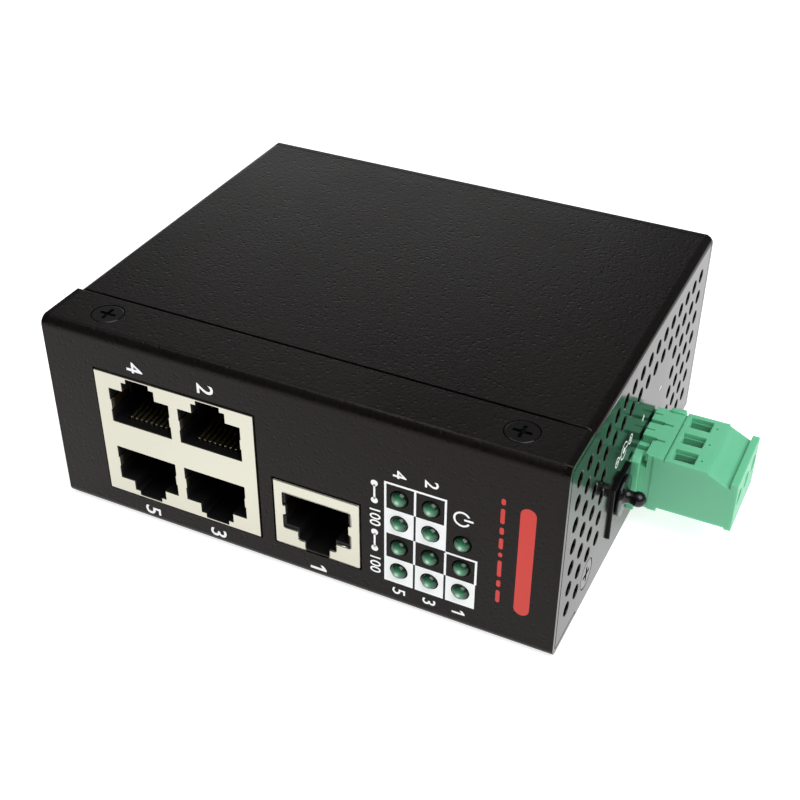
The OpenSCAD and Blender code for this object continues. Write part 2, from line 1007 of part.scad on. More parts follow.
// Places follow the board's rear edge, the power connectors or the jacks
board_end = board_y + board_d;
chip_spot = [36, 54.2];
chip_size = [20, 14, 2.7];
crystal_spot = [chip_spot[0] + 17, 34.2];
inductor_spot = [case_w - 26.5, 46.5];
regulator_spot = [case_w - 16, board_end - 14.5];
diode_spot = [case_w - 17, block_y - 5.5];
fuse_spot = [case_w - 20, jack_y + 0.9];
capacitor_spots = [[case_w - 24.3, board_end - 8.5], [case_w - 33.3, board_end - 8.5]];
coil_spots = [[19, 37], [37, 37], [54, 26]];
coil_box = [15.2, 9.6, 5.8];
lead_t = 0.2;

// A row of bent leads along X, from a body's side at y out to the board
module lead_row(x, y, count, pitch, wide, high) {
  for (i = [0:count - 1])
    along_x(x + (i - (count - 1) / 2) * pitch - wide / 2, wide)
      translate([y, board_top])
        polygon([
          [0, high], [0.5, high], [0.5 + lead_t, lead_t], [1.3, lead_t], [1.3, 0],
          [0.5, 0], [0.35, high - lead_t], [0, high - lead_t]
        ]);
}

// The same row on both sides of a body, wide apart by gap
module lead_rows(spot, gap, count, pitch, wide, high) {
  translate([spot[0], spot[1], 0])
    for (side = [0, 1])
      mirror([0, side, 0])
        lead_row(0, gap / 2, count, pitch, wide, high);
}

module switch_chip() {
  color(moulding)
    from_corner()
      difference() {
        block(chip_spot[0], chip_spot[1], board_top + 0.3, chip_size);
        translate([chip_spot[0] - 8.6, chip_spot[1] - 5.6, board_top + 0.3 + chip_size[2] - 0.1])
          cylinder(r = 0.7, h = 1);
      }
}

module chip_leads() {
  color(tin)
    from_corner() {
      lead_rows(chip_spot, chip_size[1], 23, 0.8, 0.35, 1.7);
      translate([chip_spot[0], chip_spot[1], 0])
        rotate(90)
          lead_rows([0, 0], chip_size[0], 15, 0.8, 0.35, 1.7);
      for (spot = coil_spots)
        lead_rows(spot, coil_box[1], 12, 1.18, 0.5, 1.5);
    }
}

module line_transformers() {
  color(moulding)
    from_corner()
      for (spot = coil_spots)
        difference() {
          block(spot[0], spot[1], board_top + 0.25, coil_box);
          translate([spot[0] - 6.4, spot[1] - 3.6, board_top + coil_box[2] + 0.1])
            cylinder(r = 0.6, h = 1);
        }
}

module crystal() {
  color(zinc)
    from_corner()
      translate([crystal_spot[0], crystal_spot[1], board_top]) {
        along_z(0, 0.7)
          rounded_rect(11.4, 4.9, 2.4);
        translate([0.35, 0.35, 0])
          along_z(0.6, 2.9)
            rounded_rect(10.7, 4.2, 2.05);
      }
}

// Electrolytic capacitors: an aluminium can with a crimp above its foot
module capacitor(spot, r, h) {
  translate([spot[0], spot[1], board_top])
    rotate_extrude()
      polygon([
        [0, 0.1], [r, 0.1], [r, h * 0.12], [r - 0.35, h * 0.15], [r - 0.35, h * 0.19],
        [r, h * 0.22], [r, h - 0.3], [r - 0.3, h], [0, h]
      ]);
}

module capacitors() {
  color("#3a4a63")
    from_corner() {
      for (spot = capacitor_spots)
        capacitor(spot, 4, 11.5);
      capacitor([14, 50], 3.15, 7.7);
    }
}

module power_inductor() {
  color("#3b3a3c")
    from_corner()
      translate([inductor_spot[0], inductor_spot[1], board_top])
        difference() {
          union() {
            block(0, 0, 0, [12, 12, 1]);
            translate([0, 0, 0.9])
              cylinder(r = 5.6, h = 5.6);
          }
          translate([0, 0, 6])
            cylinder(r = 2.6, h = 1);
        }
}

module regulator() {
  color("#26262a")
    from_corner()
      translate([regulator_spot[0], regulator_spot[1], board_top]) {
        block(0, 0, 0.3, [6.5, 6, 2.1]);
        block(0, 3.4, 0, [5.3, 2, 0.5]);
        for (x = [-2.28, 2.28])
          block(x, -3.8, 0, [0.8, 1.8, 0.5]);
      }
}

module surge_diode() {
  color(moulding)
    from_corner() {
      block(diode_spot[0], diode_spot[1], board_top + 0.15, [4.4, 3.6, 2.2]);
      block(diode_spot[0], diode_spot[1], board_top, [5.6, 2, 0.3]);
    }
}

module resettable_fuse() {
  color("#b07a2c")
    from_corner()
      block(fuse_spot[0], fuse_spot[1], board_top, [4.6, 3.2, 1]);
}

module chip_passives() {
  color(ceramic)
    from_corner() {
      for (i = [0:5], side = [-1, 1])
        block(chip_spot[0] + (i - 2.5) * 3, chip_spot[1] + side * 10, board_top,
          [1.6, 0.8, 0.7]);
      for (i = [0:3], side = [-1, 1])
        block(chip_spot[0] + side * 13.6, chip_spot[1] + (i - 1.5) * 3, board_top,
          [0.8, 1.6, 0.7]);
      for (i = [0:7])
        block(62 + i * 2, 20, board_top, [0.8, 1.6, 0.45]);
    }
}

// ---- power jack ----

jack_barrel_r = jack_h - jack_axis_h - 0.2;
jack_front_t = 3.6;
pin_recess = 1.2;
jack_leg_bottom = board_z - 1.2;

module power_jack() {
  tail_w = jack_w - 0.6;
  color(moulding)
    from_corner()
      difference() {
        union() {
          translate([jack_face - jack_front_t, jack_y - jack_w / 2, board_top])
            cube([jack_front_t, jack_w, jack_h]);
          translate([jack_tail, jack_y - tail_w / 2, board_top])
            cube([jack_len, tail_w, jack_axis_h]);
          rod_x([jack_tail, jack_y, jack_z], jack_barrel_r, jack_len - 1);
        }
        rod_x([jack_face - jack_bore_len, jack_y, jack_z], jack_bore_d / 2,
          jack_bore_len + 1);
        rod_x([jack_tail - 1, jack_y, jack_z], jack_pin_d / 2 + 0.02, jack_len);
        translate([jack_tail - 1, jack_y - 1.2, board_top - 1])
          cube([1.9, 2.4, jack_axis_h + 2.2]);
        translate([jack_legs[1][0] - 0.4, jack_y - 1.2, board_top - 1])
          cube([6, 2.4, jack_axis_h]);
        translate([jack_tail + 3.6, jack_y + jack_bore_d / 2 - 1, jack_z - 1.2])
          cube([5.6, 3, 2.4]);
        translate([jack_legs[2][0] - 1.1, jack_y + jack_bore_d / 2 - 0.4, board_top - 1])
          cube([2.2, 1.5, jack_axis_h + 1.2]);
      }
}

module power_jack_pin() {
  color(tin)
    from_corner() {
      tip = jack_face - pin_recess;
      rod_x([jack_legs[0][0], jack_y, jack_z], jack_pin_d / 2, tip - jack_legs[0][0]);
      block(jack_legs[0][0], jack_y, jack_leg_bottom,
        [0.4, 2, jack_z + 1 - jack_leg_bottom]);
    }
}

// One leaf under the bore and one beside it, each with a leg
module power_jack_springs() {
  under = jack_bore_d / 2 + 1;
  rise = jack_bore_d / 2 - 0.1;
  color(tin)
    from_corner() {
      translate([0, jack_y + 1, 0])
        rotate([90, 0, 0])
          linear_extrude(2)
            translate([jack_legs[1][0], jack_z])
              polygon([
                [-0.2, -under], [3, -rise - 0.25], [4.8, -under + 0.2], [4.8, -under],
                [3, -rise - 0.55], [0.2, -under - 0.2], [0.2, jack_leg_bottom - jack_z],
                [-0.2, jack_leg_bottom - jack_z]
              ]);
      along_z(jack_z - 1, 2)
        translate([jack_tail + 3.8, jack_y])
          polygon([
            [0, rise + 0.3], [2.6, rise + 0.1], [4.4, rise + 0.5], [4.4, rise + 0.8],
            [2.6, rise + 0.4], [0, rise + 0.6]
          ]);
      block(jack_legs[2][0], jack_y + rise + 0.55, jack_leg_bottom,
        [1.6, 0.3, jack_z - jack_leg_bottom]);
    }
}

module dust_plug() {
  color(rubber)
    from_corner()
      translate([jack_face, jack_y, jack_z])
        rotate([0, 90, 0])
          difference() {
            union() {
              translate([0, 0, dust_gap])
                cylinder(r = dust_flange_d / 2, h = dust_flange_t);
              translate([0, 0, -dust_len])
                cylinder(r = dust_d / 2, h = dust_len + dust_gap + 0.1);
              translate([0, 0, dust_gap + dust_flange_t])
                cylinder(r1 = stem_d / 2 + 0.8, r2 = stem_d / 2, h = 0.7);
              translate([0, 0, dust_gap])
                cylinder(r = stem_d / 2, h = nub_out - ball_d / 2 - dust_gap);
              translate([0, 0, nub_out - ball_d / 2])
                sphere(ball_d / 2);
            }
            translate([0, 0, -dust_len - 1])
              cylinder(r = jack_pin_d / 2 + 0.3, h = dust_len + 0.6);
          }
}

// ---- terminal block ----

notch_w = rib_w + 0.4;
notch_len = 5;
tongue_x = case_w + 0.3;
tongue_w = pole_pitch - 1;
tongue_z = board_top + header_h + 0.1;
lug_h = 0.8;
lip_t = 1.3;
slope_x = plug_len - 5.4;
slope_step = 0.35;

module terminal_header() {
  color(block_green)
    from_corner()
      difference() {
        union() {
          translate([header_x, block_y - header_half, board_top])
            cube([header_len, 2 * header_half, header_h]);
          along_x(tongue_x, header_rim - tongue_x)
            translate([block_y - header_half, board_top + header_h])
              polygon([
                [0, -0.5], [0, 0.1], [lug_h, lug_h], [pole_pitch - 0.2, lug_h],
                [pole_pitch - 0.2, -0.5]
              ]);
        }
        translate([header_x + header_back, block_y - cavity_half, header_floor])
          cube([header_len, 2 * cavity_half, header_roof - header_floor]);
        for (y = pole_ys) {
          translate([header_rim - notch_len, y - notch_w / 2, header_roof - 1])
            cube([notch_len + 1, notch_w, header_wall + 2]);
          translate([header_x - 1, y - pin_w / 2 - 0.02, pin_z - pin_w / 2 - 0.02])
            cube([header_back + 2, pin_w + 0.04, pin_w + 0.04]);
        }
      }
}

module header_pins() {
  foot = board_z - 1.2;
  color(tin)
    from_corner()
      for (y = pole_ys) {
        translate([pin_leg_x - pin_w / 2, y - pin_w / 2, pin_z - pin_w / 2])
          cube([pin_tip - pin_leg_x + pin_w / 2, pin_w, pin_w]);
        block(pin_leg_x, y, foot, [pin_w, pin_w, pin_z + pin_w / 2 - foot]);
      }
}

// The plug's outline from the side, outside its shoulder
module plug_outline() {
  base = board_top;
  polygon([
    [0, base + 0.5], [2.7, base + 0.5], [2.7, base + 1.25],
    [plug_len - lip_t, base + 1.25], [plug_len - lip_t + 0.2, base + 0.9], [plug_len, base + 0.9],
    [plug_len, plug_top - 1.1], [plug_len - lip_t, plug_top - 1.1],
    [plug_len - lip_t, plug_top - 2.4], [slope_x, plug_top - slope_step],
    [slope_x, plug_top], [0, plug_top]
  ]);
}

// One pole's spaces in the plug: contact, clamp, screw and wire entry
module pole_space(y) {
  room = cage_half + 0.1;
  floor_z = clamp_z - cage_h / 2 - 0.2;
  spring_top = pin_z + pin_w / 2 + 0.6;
  translate([nose_tip - 1, y - 1.3, strip_z - 0.1])
    cube([header_rim - nose_tip + 0.35, 2.6, spring_top - strip_z + 0.1]);
  translate([header_rim - 1, y - strip_half - 0.1, strip_z - 0.1])
    cube([bar_x + bar_t + 1.1 - header_rim, 2 * strip_half + 0.2, 1.2]);
  translate([cage_x - 0.2, y - room, floor_z])
    cube([cage_room_end - cage_x + 0.2, 2 * room, cage_h + 0.4]);
  rod_x([cage_room_end - 1, y, clamp_z], clamp_head_d / 2 + 0.1, head_room_len + 1);
  rod_x([cage_room_end, y, clamp_z], clamp_head_d / 2 - 0.3, 20);
  translate([entry_x, y - entry_w / 2, clamp_z])
    cube([entry_len, entry_w, plug_h]);
  translate([entry_x - 0.1, y - entry_w / 2 - 0.15, plug_top - 0.9])
    cube([entry_len + 0.4, entry_w + 0.3, 2]);
  translate([entry_x + entry_len + 1.15, y, plug_top - 0.4])
    cylinder(r = 0.25, h = 1);
}

module plug_body() {
  nose_z = header_floor + nose_clear;
  nose_h = header_roof - header_floor - 2 * nose_clear;
  color(block_green)
    from_corner()
      difference() {
        union() {
          translate([0, block_y + plug_half, 0])
            rotate([90, 0, 0])
              linear_extrude(2 * plug_half)
                translate([shoulder, 0])
                  plug_outline();
          translate([nose_tip, block_y - nose_half, nose_z])
            cube([shoulder + 0.5 - nose_tip, 2 * nose_half, nose_h]);
          for (y = pole_ys)
            translate([header_rim - notch_len + 0.3, y - rib_w / 2, pin_z])
              cube([notch_len + shoulder_gap, rib_w, board_top + header_h - pin_z]);
          translate([shoulder - 0.45, pole_ys[0] - tongue_w / 2, tongue_z])
            cube([1, tongue_w, plug_top - tongue_z]);
          for (i = [1:poles - 1]) {
            translate([tongue_x, pole_ys[i] - tongue_w / 2, tongue_z])
              cube([shoulder + 0.5 - tongue_x, tongue_w, plug_top - tongue_z]);
            translate([tongue_x, pole_ys[i] - rib_w / 2, pin_z])
              cube([shoulder + 0.5 - tongue_x, rib_w, plug_top - 0.6 - pin_z]);
          }
          translate([shoulder, block_y + plug_half - 1.1, plug_top - 0.5])
            cube([2.6, 1.1, 0.95]);
        }
        for (y = pole_ys)
          pole_space(y);
        for (y = [block_y - pole_pitch / 2, block_y + pole_pitch / 2])
          translate([shoulder - 1, y - 0.25, plug_top - 0.8])
            cube([2.6, 0.5, 2]);
        for (i = [1:poles - 1])
          translate([tongue_x - 1, pole_ys[i] - 0.2, plug_top - 0.5])
            cube([2.5, 0.4, 1]);
        translate([shoulder + 2.75, block_y - plug_half - 1, plug_top - 0.6])
          cube([0.3, 2 * plug_half + 2, 1]);
        for (side = [-1, 1])
          translate([shoulder - 1, block_y + side * (plug_half + 0.8) - 1, board_top])
            cube([2.1, 2, plug_h + 1]);
      }
}

// A spring clip round the header's pin, a strip and the bar that takes the wire
module plug_contact(y) {
  leaf = 0.4;
  low = pin_z - pin_w / 2 - 0.05 - leaf;
  high = pin_z + pin_w / 2 + 0.05;
  translate([0, y + strip_half, 0])
    rotate([90, 0, 0])
      linear_extrude(2 * strip_half)
        difference() {
          union() {
            translate([nose_tip + 0.7, low])
              square([6.6, leaf]);
            translate([nose_tip + 0.7, high])
              square([6.6, leaf]);
            translate([nose_tip + 6.9, strip_z])
              square([0.5, high + leaf - strip_z]);
            translate([nose_tip + 6.9, strip_z])
              square([bar_x + bar_t - nose_tip - 6.9, strip_t]);
            translate([bar_x, strip_z])
              square([bar_t, clamp_z + 2.2 - strip_z]);
          }
          translate([nose_tip + 0.6, low - 1])
            square([0.3, 1.2]);
        }
}

module plug_contacts() {
  color(tin)
    from_corner()
      for (y = pole_ys)
        plug_contact(y);
}

module clamp_screw(pole) {
  head_x = cage_room_end + 0.2;
  head_len = head_room_len - 0.4;
  color(zinc)
    from_corner()
      difference() {
        union() {
          rod_x([screw_tip, pole_ys[pole], clamp_z], clamp_screw_d / 2, head_x - screw_tip);
          rod_x([head_x, pole_ys[pole], clamp_z], clamp_head_d / 2, head_len);
        }
        translate([head_x + head_len - 0.8, pole_ys[pole] - clamp_head_d, clamp_z - 0.3])
          cube([1, 2 * clamp_head_d, 0.6]);
      }
}

module clamp_screw_a() { clamp_screw(0); }
module clamp_screw_b() { clamp_screw(1); }
module clamp_screw_c() { clamp_screw(2); }

// A square loop round the bar: the jaw at its left, the nut at its right
module clamp_cage(pole) {
  inner = cage_half - cage_side;
  bottom = clamp_z - cage_h / 2;
  color(zinc)
    from_corner()
      translate([0, pole_ys[pole], 0])
        difference() {
          translate([cage_x, -cage_half, bottom])
            cube([nut_x + cage_nut - cage_x, 2 * cage_half, cage_h]);
          translate([entry_x, -inner, bottom - 1])
            cube([nut_x - entry_x, 2 * inner, cage_h + 2]);
          rod_x([nut_x - 1, 0, clamp_z], clamp_screw_d / 2 + clamp_run, cage_nut + 2);
          for (i = [0:2], side = [-1, 1])
            translate([entry_x + 0.3 + i, side * (inner + cage_side / 2), bottom + cage_h])
              block(0.25, 0, -0.25, [0.5, cage_side + 0.2, 1]);
        }
}

module clamp_cage_a() { clamp_cage(0); }
module clamp_cage_b() { clamp_cage(1); }
module clamp_cage_c() { clamp_cage(2); }

// ---- rail clip ----

// Pieces of the clip are drawn from the middle of the rear face
module on_rear() {
  from_corner()
    translate([clip_mid, case_d, clip_z])
      children();
}

channel_half = latch_w / 2 + latch_clear;
channel_t = latch_t + 2 * latch_clear;
latch_right = slot_x + slot_len + 2.5;
slot_half = coil_r + coil_wire_r + 0.5;
peg_len = 2;
hook_end = clip_t + rail_t + hook_t;

module rail_bracket() {
  color(moulding)
    on_rear()
      difference() {
        union() {
          difference() {
            union() {
              translate([clip_left, 0, -clip_w / 2])
                cube([clip_right - clip_left, clip_t, clip_w]);
              along_z(-clip_w / 2, clip_w)
                polygon([
                  [post_x, clip_t - 0.5], [post_x, clip_t + rail_t],
                  [tip_x, clip_t + rail_t], [tip_x, clip_t + rail_t + 1.2],
                  [tip_x + 1, hook_end], [clip_right, hook_end], [clip_right, clip_t - 0.5]
                ]);
            }
            translate([clip_left - 1, -1, -channel_half])
              cube([latch_right + channel_end - clip_left + 1, channel_t + 1,
                2 * channel_half]);
          }
          translate([peg_x, latch_clear, -slot_half + 0.3])
            cube([peg_len, clip_t - latch_clear - 0.5, 2 * slot_half - 0.6]);
        }
        translate([-post_x - post_len - latch_travel - 0.3, 0, -channel_half])
          cube([post_len + latch_travel + 0.7, clip_t + 1, 2 * channel_half]);
        for (spot = rail_screw_spots)
          translate([spot[0], clip_t, spot[1]])
            rotate([-90, 0, 0])
              countersunk(hole_r, head_d / 2 + screw_clear, rail_screw_len);
      }
}

module rail_latch() {
  left = clip_left - pull_len;
  color(moulding)
    on_rear()
      difference() {
        union() {
          translate([left, latch_clear, -latch_w / 2])
            cube([latch_right - left, latch_t, latch_w]);
          along_z(-latch_w / 2, latch_w)
            polygon([
              [-post_x, latch_clear + 1], [-post_x, clip_t + rail_t],
              [-tip_x, clip_t + rail_t], [-tip_x, clip_t + rail_t + 0.5],
              [-tip_x - 1.5, hook_end], [-post_x - post_len, hook_end],
              [-post_x - post_len, latch_clear + 1]
            ]);
        }
        translate([slot_x, -1, -slot_half])
          cube([slot_len, channel_t + 2, 2 * slot_half]);
        translate([left + 1.2, -1, -latch_w / 2 + 2])
          cube([1.6, channel_t + 2, latch_w - 4]);
      }
}

// The spring: a round wire swept along a helix whose end turns lie flat
coil_steps = 20;
wire_sides = 8;
coil_count = coil_turns * coil_steps;
dead_rise = 2 * coil_wire_r;
live_rise = coil_len - 2 * coil_wire_r - 2 * dead_rise;
function coil_rise(turn) =
  turn < 1 ? turn * dead_rise
    : turn > coil_turns - 1 ? dead_rise + live_rise + (turn - coil_turns + 1) * dead_rise
    : dead_rise + live_rise * (turn - 1) / (coil_turns - 2);
coil_points = [
  for (i = [0:coil_count], j = [0:wire_sides - 1])
    let (
      turn = i / coil_steps,
      around = j * 360 / wire_sides,
      radius = coil_r + coil_wire_r * cos(around)
    )
      [radius * cos(360 * turn), radius * sin(360 * turn),
        coil_wire_r + coil_rise(turn) + coil_wire_r * sin(around)]
];
coil_skin = [
  for (i = [0:coil_count - 1], j = [0:wire_sides - 1], half = [0, 1])
    let (
      a = i * wire_sides + j,
      b = i * wire_sides + (j + 1) % wire_sides
    )
      half == 0 ? [a, a + wire_sides, b] : [b, a + wire_sides, b + wire_sides]
];
coil_ends = [
  [for (j = [0:wire_sides - 1]) j],
  [for (j = [wire_sides - 1:-1:0]) coil_count * wire_sides + j]
];

module latch_spring() {
  color(zinc)
    on_rear()
      translate([coil_x, latch_clear + latch_t / 2, 0])
        rotate([0, 90, 0])
          polyhedron(points = coil_points, faces = concat(coil_skin, coil_ends));
}

// ---- nodes ----

front_shell();
cover();
base_pan();
flange_screws();
side_screws();
circuit_board();
standoffs();
board_screws();
stack_shield();
stack_housing();
stack_contacts();
single_shield();
single_housing();
single_contacts();
jack_pins();
lamps();
lamp_holders();
lamp_leads();
switch_chip();
chip_leads();
line_transformers();
crystal();
capacitors();
power_inductor();
regulator();
surge_diode();
resettable_fuse();
chip_passives();
power_jack();
power_jack_pin();
power_jack_springs();
dust_plug();
terminal_header();
header_pins();
plug_body();
plug_contacts();
clamp_screw_a();
clamp_screw_b();
clamp_screw_c();
clamp_cage_a();
clamp_cage_b();
clamp_cage_c();
rail_bracket();
rail_latch();
latch_spring();
rail_screws();
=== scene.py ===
"""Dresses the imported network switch: rounded edges, finishes, printing, lamps and light."""
import json
import math

import bmesh
import bpy
from mathutils import Matrix, Vector


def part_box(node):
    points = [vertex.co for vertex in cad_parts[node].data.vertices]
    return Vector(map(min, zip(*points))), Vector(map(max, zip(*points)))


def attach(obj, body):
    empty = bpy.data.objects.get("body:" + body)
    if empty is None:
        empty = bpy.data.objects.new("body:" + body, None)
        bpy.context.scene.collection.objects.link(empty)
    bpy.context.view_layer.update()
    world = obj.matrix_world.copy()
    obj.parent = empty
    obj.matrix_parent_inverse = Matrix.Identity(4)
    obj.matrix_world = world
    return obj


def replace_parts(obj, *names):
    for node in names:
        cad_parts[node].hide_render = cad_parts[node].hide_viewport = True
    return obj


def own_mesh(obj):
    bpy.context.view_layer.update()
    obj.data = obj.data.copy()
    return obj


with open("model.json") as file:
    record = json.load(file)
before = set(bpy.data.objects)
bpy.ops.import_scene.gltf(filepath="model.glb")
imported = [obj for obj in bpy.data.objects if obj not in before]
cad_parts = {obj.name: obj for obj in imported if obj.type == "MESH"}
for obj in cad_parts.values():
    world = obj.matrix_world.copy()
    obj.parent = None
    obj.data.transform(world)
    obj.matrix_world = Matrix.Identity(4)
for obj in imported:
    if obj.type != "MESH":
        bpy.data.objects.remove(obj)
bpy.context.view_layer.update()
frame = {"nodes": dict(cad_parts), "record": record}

MM = 0.001
RIGHT, BACK, UP = Vector((1, 0, 0)), Vector((0, 1, 0)), Vector((0, 0, 1))
SHELL_LOW, SHELL_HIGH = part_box("front_shell")
CASE_W = (SHELL_HIGH.x - SHELL_LOW.x) / MM

# The lowest lamp of the first column, and the steps to the next ones, on the port face
LAMP_COLUMN, COLUMN_PITCH = 67.7, 5.5
LAMP_ROW, ROW_PITCH = 7.95, 5.1
LAMP_COUNTS = (4, 4, 3)
LAMP_R = 1.5
# The middle of the power jack on the power side
JACK_Y, JACK_Z = 30.1, 12.1


def at(x, y, z):
    """A point from millimetres right, back and up of the housing's front left corner."""
    return SHELL_LOW + Vector((x, y, z)) * MM


# ---------------------------------------------------------------- shader groups


def set_inputs(node, **values):
    """Sets a shader node's inputs. An underscore in a name stands for a space."""
    for label, value in values.items():
        node.inputs[label.replace("_", " ")].default_value = value


def make_group(name, inputs, outputs):
    """An empty shader group with float inputs (name, default) and named float outputs."""
    group = bpy.data.node_groups.new(name, "ShaderNodeTree")
    for label, default in inputs:
        socket = group.interface.new_socket(
            label, in_out="INPUT", socket_type="NodeSocketFloat",
        )
        socket.default_value = default
    for label in outputs:
        group.interface.new_socket(label, in_out="OUTPUT", socket_type="NodeSocketFloat")
    return group, group.nodes.new("NodeGroupInput"), group.nodes.new("NodeGroupOutput")


def use_group(tree, group, **values):
    node = tree.nodes.new("ShaderNodeGroup")
    node.node_tree = group
    set_inputs(node, **values)
    return node


def add_math(tree, operation, first, second=0.0, clamp=False):
    node = tree.nodes.new("ShaderNodeMath")
    node.operation = operation
    node.use_clamp = clamp
    for socket, value in zip(node.inputs, (first, second)):
        if isinstance(value, (int, float)):
            socket.default_value = value
        else:
            tree.links.new(value, socket)
    return node.outputs[0]


def add_ramp(tree, value, low, high, from_value=0.0, to_value=1.0):
    """Maps low..high to from_value..to_value smoothly."""
    node = tree.nodes.new("ShaderNodeMapRange")
    node.interpolation_type = "SMOOTHSTEP"
    tree.links.new(value, node.inputs["Value"])
    set_inputs(node, From_Min=low, From_Max=high, To_Min=from_value, To_Max=to_value)
    return node.outputs["Result"]


def object_axes(tree):
    """The Object coordinates, as one output for each axis."""
    parts = tree.nodes.new("ShaderNodeSeparateXYZ")
    place = tree.nodes.new("ShaderNodeTexCoord").outputs["Object"]
    tree.links.new(place, parts.inputs[0])
    return parts.outputs


def grain_group():
    """Fine bumps of a sprayed or moulded surface, with a slow change over the whole piece."""
    group, start, end = make_group(
        "surface_grain",
        [("Grain Size mm", 0.4), ("Pits", 0.3), ("Detail", 2.0)],
        ["Height", "Drift"],
    )
    nodes, links = group.nodes, group.links
    place = nodes.new("ShaderNodeTexCoord").outputs["Object"]
    scale = add_math(group, "DIVIDE", 1 / MM, start.outputs["Grain Size mm"])
    fine = nodes.new("ShaderNodeTexNoise")
    set_inputs(fine, Roughness=0.55)
    links.new(place, fine.inputs["Vector"])
    links.new(scale, fine.inputs["Scale"])
    links.new(start.outputs["Detail"], fine.inputs["Detail"])
    cells = nodes.new("ShaderNodeTexVoronoi")
    links.new(place, cells.inputs["Vector"])
    links.new(add_math(group, "MULTIPLY", scale, 0.35), cells.inputs["Scale"])
    pits = add_ramp(group, cells.outputs["Distance"], 0.05, 0.35, -1.0, 0.0)
    deep = add_math(group, "MULTIPLY", pits, start.outputs["Pits"])
    height = add_math(group, "ADD", fine.outputs["Fac"], deep)
    slow = nodes.new("ShaderNodeTexNoise")
    set_inputs(slow, Scale=45.0, Detail=3.0)
    links.new(place, slow.inputs["Vector"])
    links.new(height, end.inputs["Height"])
    links.new(slow.outputs["Fac"], end.inputs["Drift"])
    return group


def depth_shade_group():
    """Painted shade deeper in the ports: 0 at the first and 1 from the second of two depths behind
    the port face.
    """
    group, start, end = make_group("depth_shade", [("From mm", 0.5), ("To mm", 6.0)], ["Depth"])
    behind = add_math(group, "SUBTRACT", object_axes(group)["Y"], SHELL_LOW.y)
    behind = add_math(group, "MULTIPLY", behind, 1 / MM)
    far = add_math(group, "SUBTRACT", behind, start.outputs["From mm"])
    span = add_math(group, "SUBTRACT", start.outputs["To mm"], start.outputs["From mm"])
    group.links.new(add_math(group, "DIVIDE", far, span, clamp=True), end.inputs["Depth"])
    return group


def lamp_group():
    """Distance in millimetres from the axis of the nearest lamp on the port face."""
    group, _, end = make_group("lamp_spacing", [], ["Distance mm"])
    axes = object_axes(group)
    first = at(LAMP_COLUMN, 0, LAMP_ROW)
    squares = []
    for axis, origin, pitch in (("X", first.x, COLUMN_PITCH), ("Z", first.z, ROW_PITCH)):
        way = add_math(group, "SUBTRACT", axes[axis], origin)
        away = add_math(group, "PINGPONG", add_math(group, "MULTIPLY", way, 1 / MM), pitch / 2)
        squares.append(add_math(group, "MULTIPLY", away, away))
    total = add_math(group, "ADD", *squares)
    group.links.new(add_math(group, "SQRT", total), end.inputs["Distance mm"])
    return group


GRAIN, DEPTH_SHADE, SPACING = grain_group(), depth_shade_group(), lamp_group()

# ---------------------------------------------------------------- materials

# How far the roughness of a plain finish drifts to either side
ROUGH_DRIFT = 0.06
# The coat changes between these distances from the plane of a narrow side, within its bend
BEND_START, BEND_END = 1.6, 0.4


def skin_of(tree):
    return tree.nodes["Principled BSDF"]


def new_material(name, colour, rough, metal=0.0, **constants):
    """A Principled material whose other constants sit on its own sockets."""
    material = bpy.data.materials.new(name)
    material.use_nodes = True
    tree = material.node_tree
    set_inputs(
        skin_of(tree), Base_Color=(*colour, 1.0), Roughness=rough, Metallic=metal, **constants,
    )
    return material, tree


def add_grain(tree, size, depth, pits, detail=2.0):
    """Fine bumps of a size and depth in millimetres. Returns the grain and its bump node."""
    grain = use_group(tree, GRAIN, Grain_Size_mm=size, Pits=pits, Detail=detail)
    bump = tree.nodes.new("ShaderNodeBump")
    set_inputs(bump, Distance=depth * MM, Strength=1.0)
    tree.links.new(grain.outputs["Height"], bump.inputs["Height"])
    tree.links.new(bump.outputs["Normal"], skin_of(tree).inputs["Normal"])
    return grain, bump


def add_drift(tree, grain, low, high):
    """A value that drifts slowly between low and high over the piece."""
    return add_ramp(tree, grain.outputs["Drift"], 0.3, 0.7, low, high)


def mix_colours(tree, factor, first, second):
    """Feeds Base Color with first where factor is 0 and second where it is 1."""
    mix = tree.nodes.new("ShaderNodeMix")
    mix.data_type = "RGBA"
    tree.links.new(factor, mix.inputs["Factor"])
    set_inputs(mix, A=(*first, 1.0), B=(*second, 1.0))
    tree.links.new(mix.outputs["Result"], skin_of(tree).inputs["Base Color"])


def plain_grain(name, colour, rough, size, depth, metal=0.0, pits=0.2, **constants):
    """One colour with fine bumps, and a roughness that drifts over the piece."""
    material, tree = new_material(name, colour, rough, metal, **constants)
    grain, _ = add_grain(tree, size, depth, pits)
    drift = add_drift(tree, grain, rough - ROUGH_DRIFT, rough + ROUGH_DRIFT)
    tree.links.new(drift, skin_of(tree).inputs["Roughness"])
    return material


def painted_depth_shade(name, near, far, rough, start, stop, size=0.4, depth=0.004, **constants):
    """A finish with painted shade: its colour goes from near to a darker far between two depths
    behind the port face, as shade deeper in the ports.
    """
    material = plain_grain(name, near, rough, size, depth, pits=0.1, **constants)
    tree = material.node_tree
    shade = use_group(tree, DEPTH_SHADE, From_mm=start, To_mm=stop)
    mix_colours(tree, shade.outputs["Depth"], near, far)
    return material


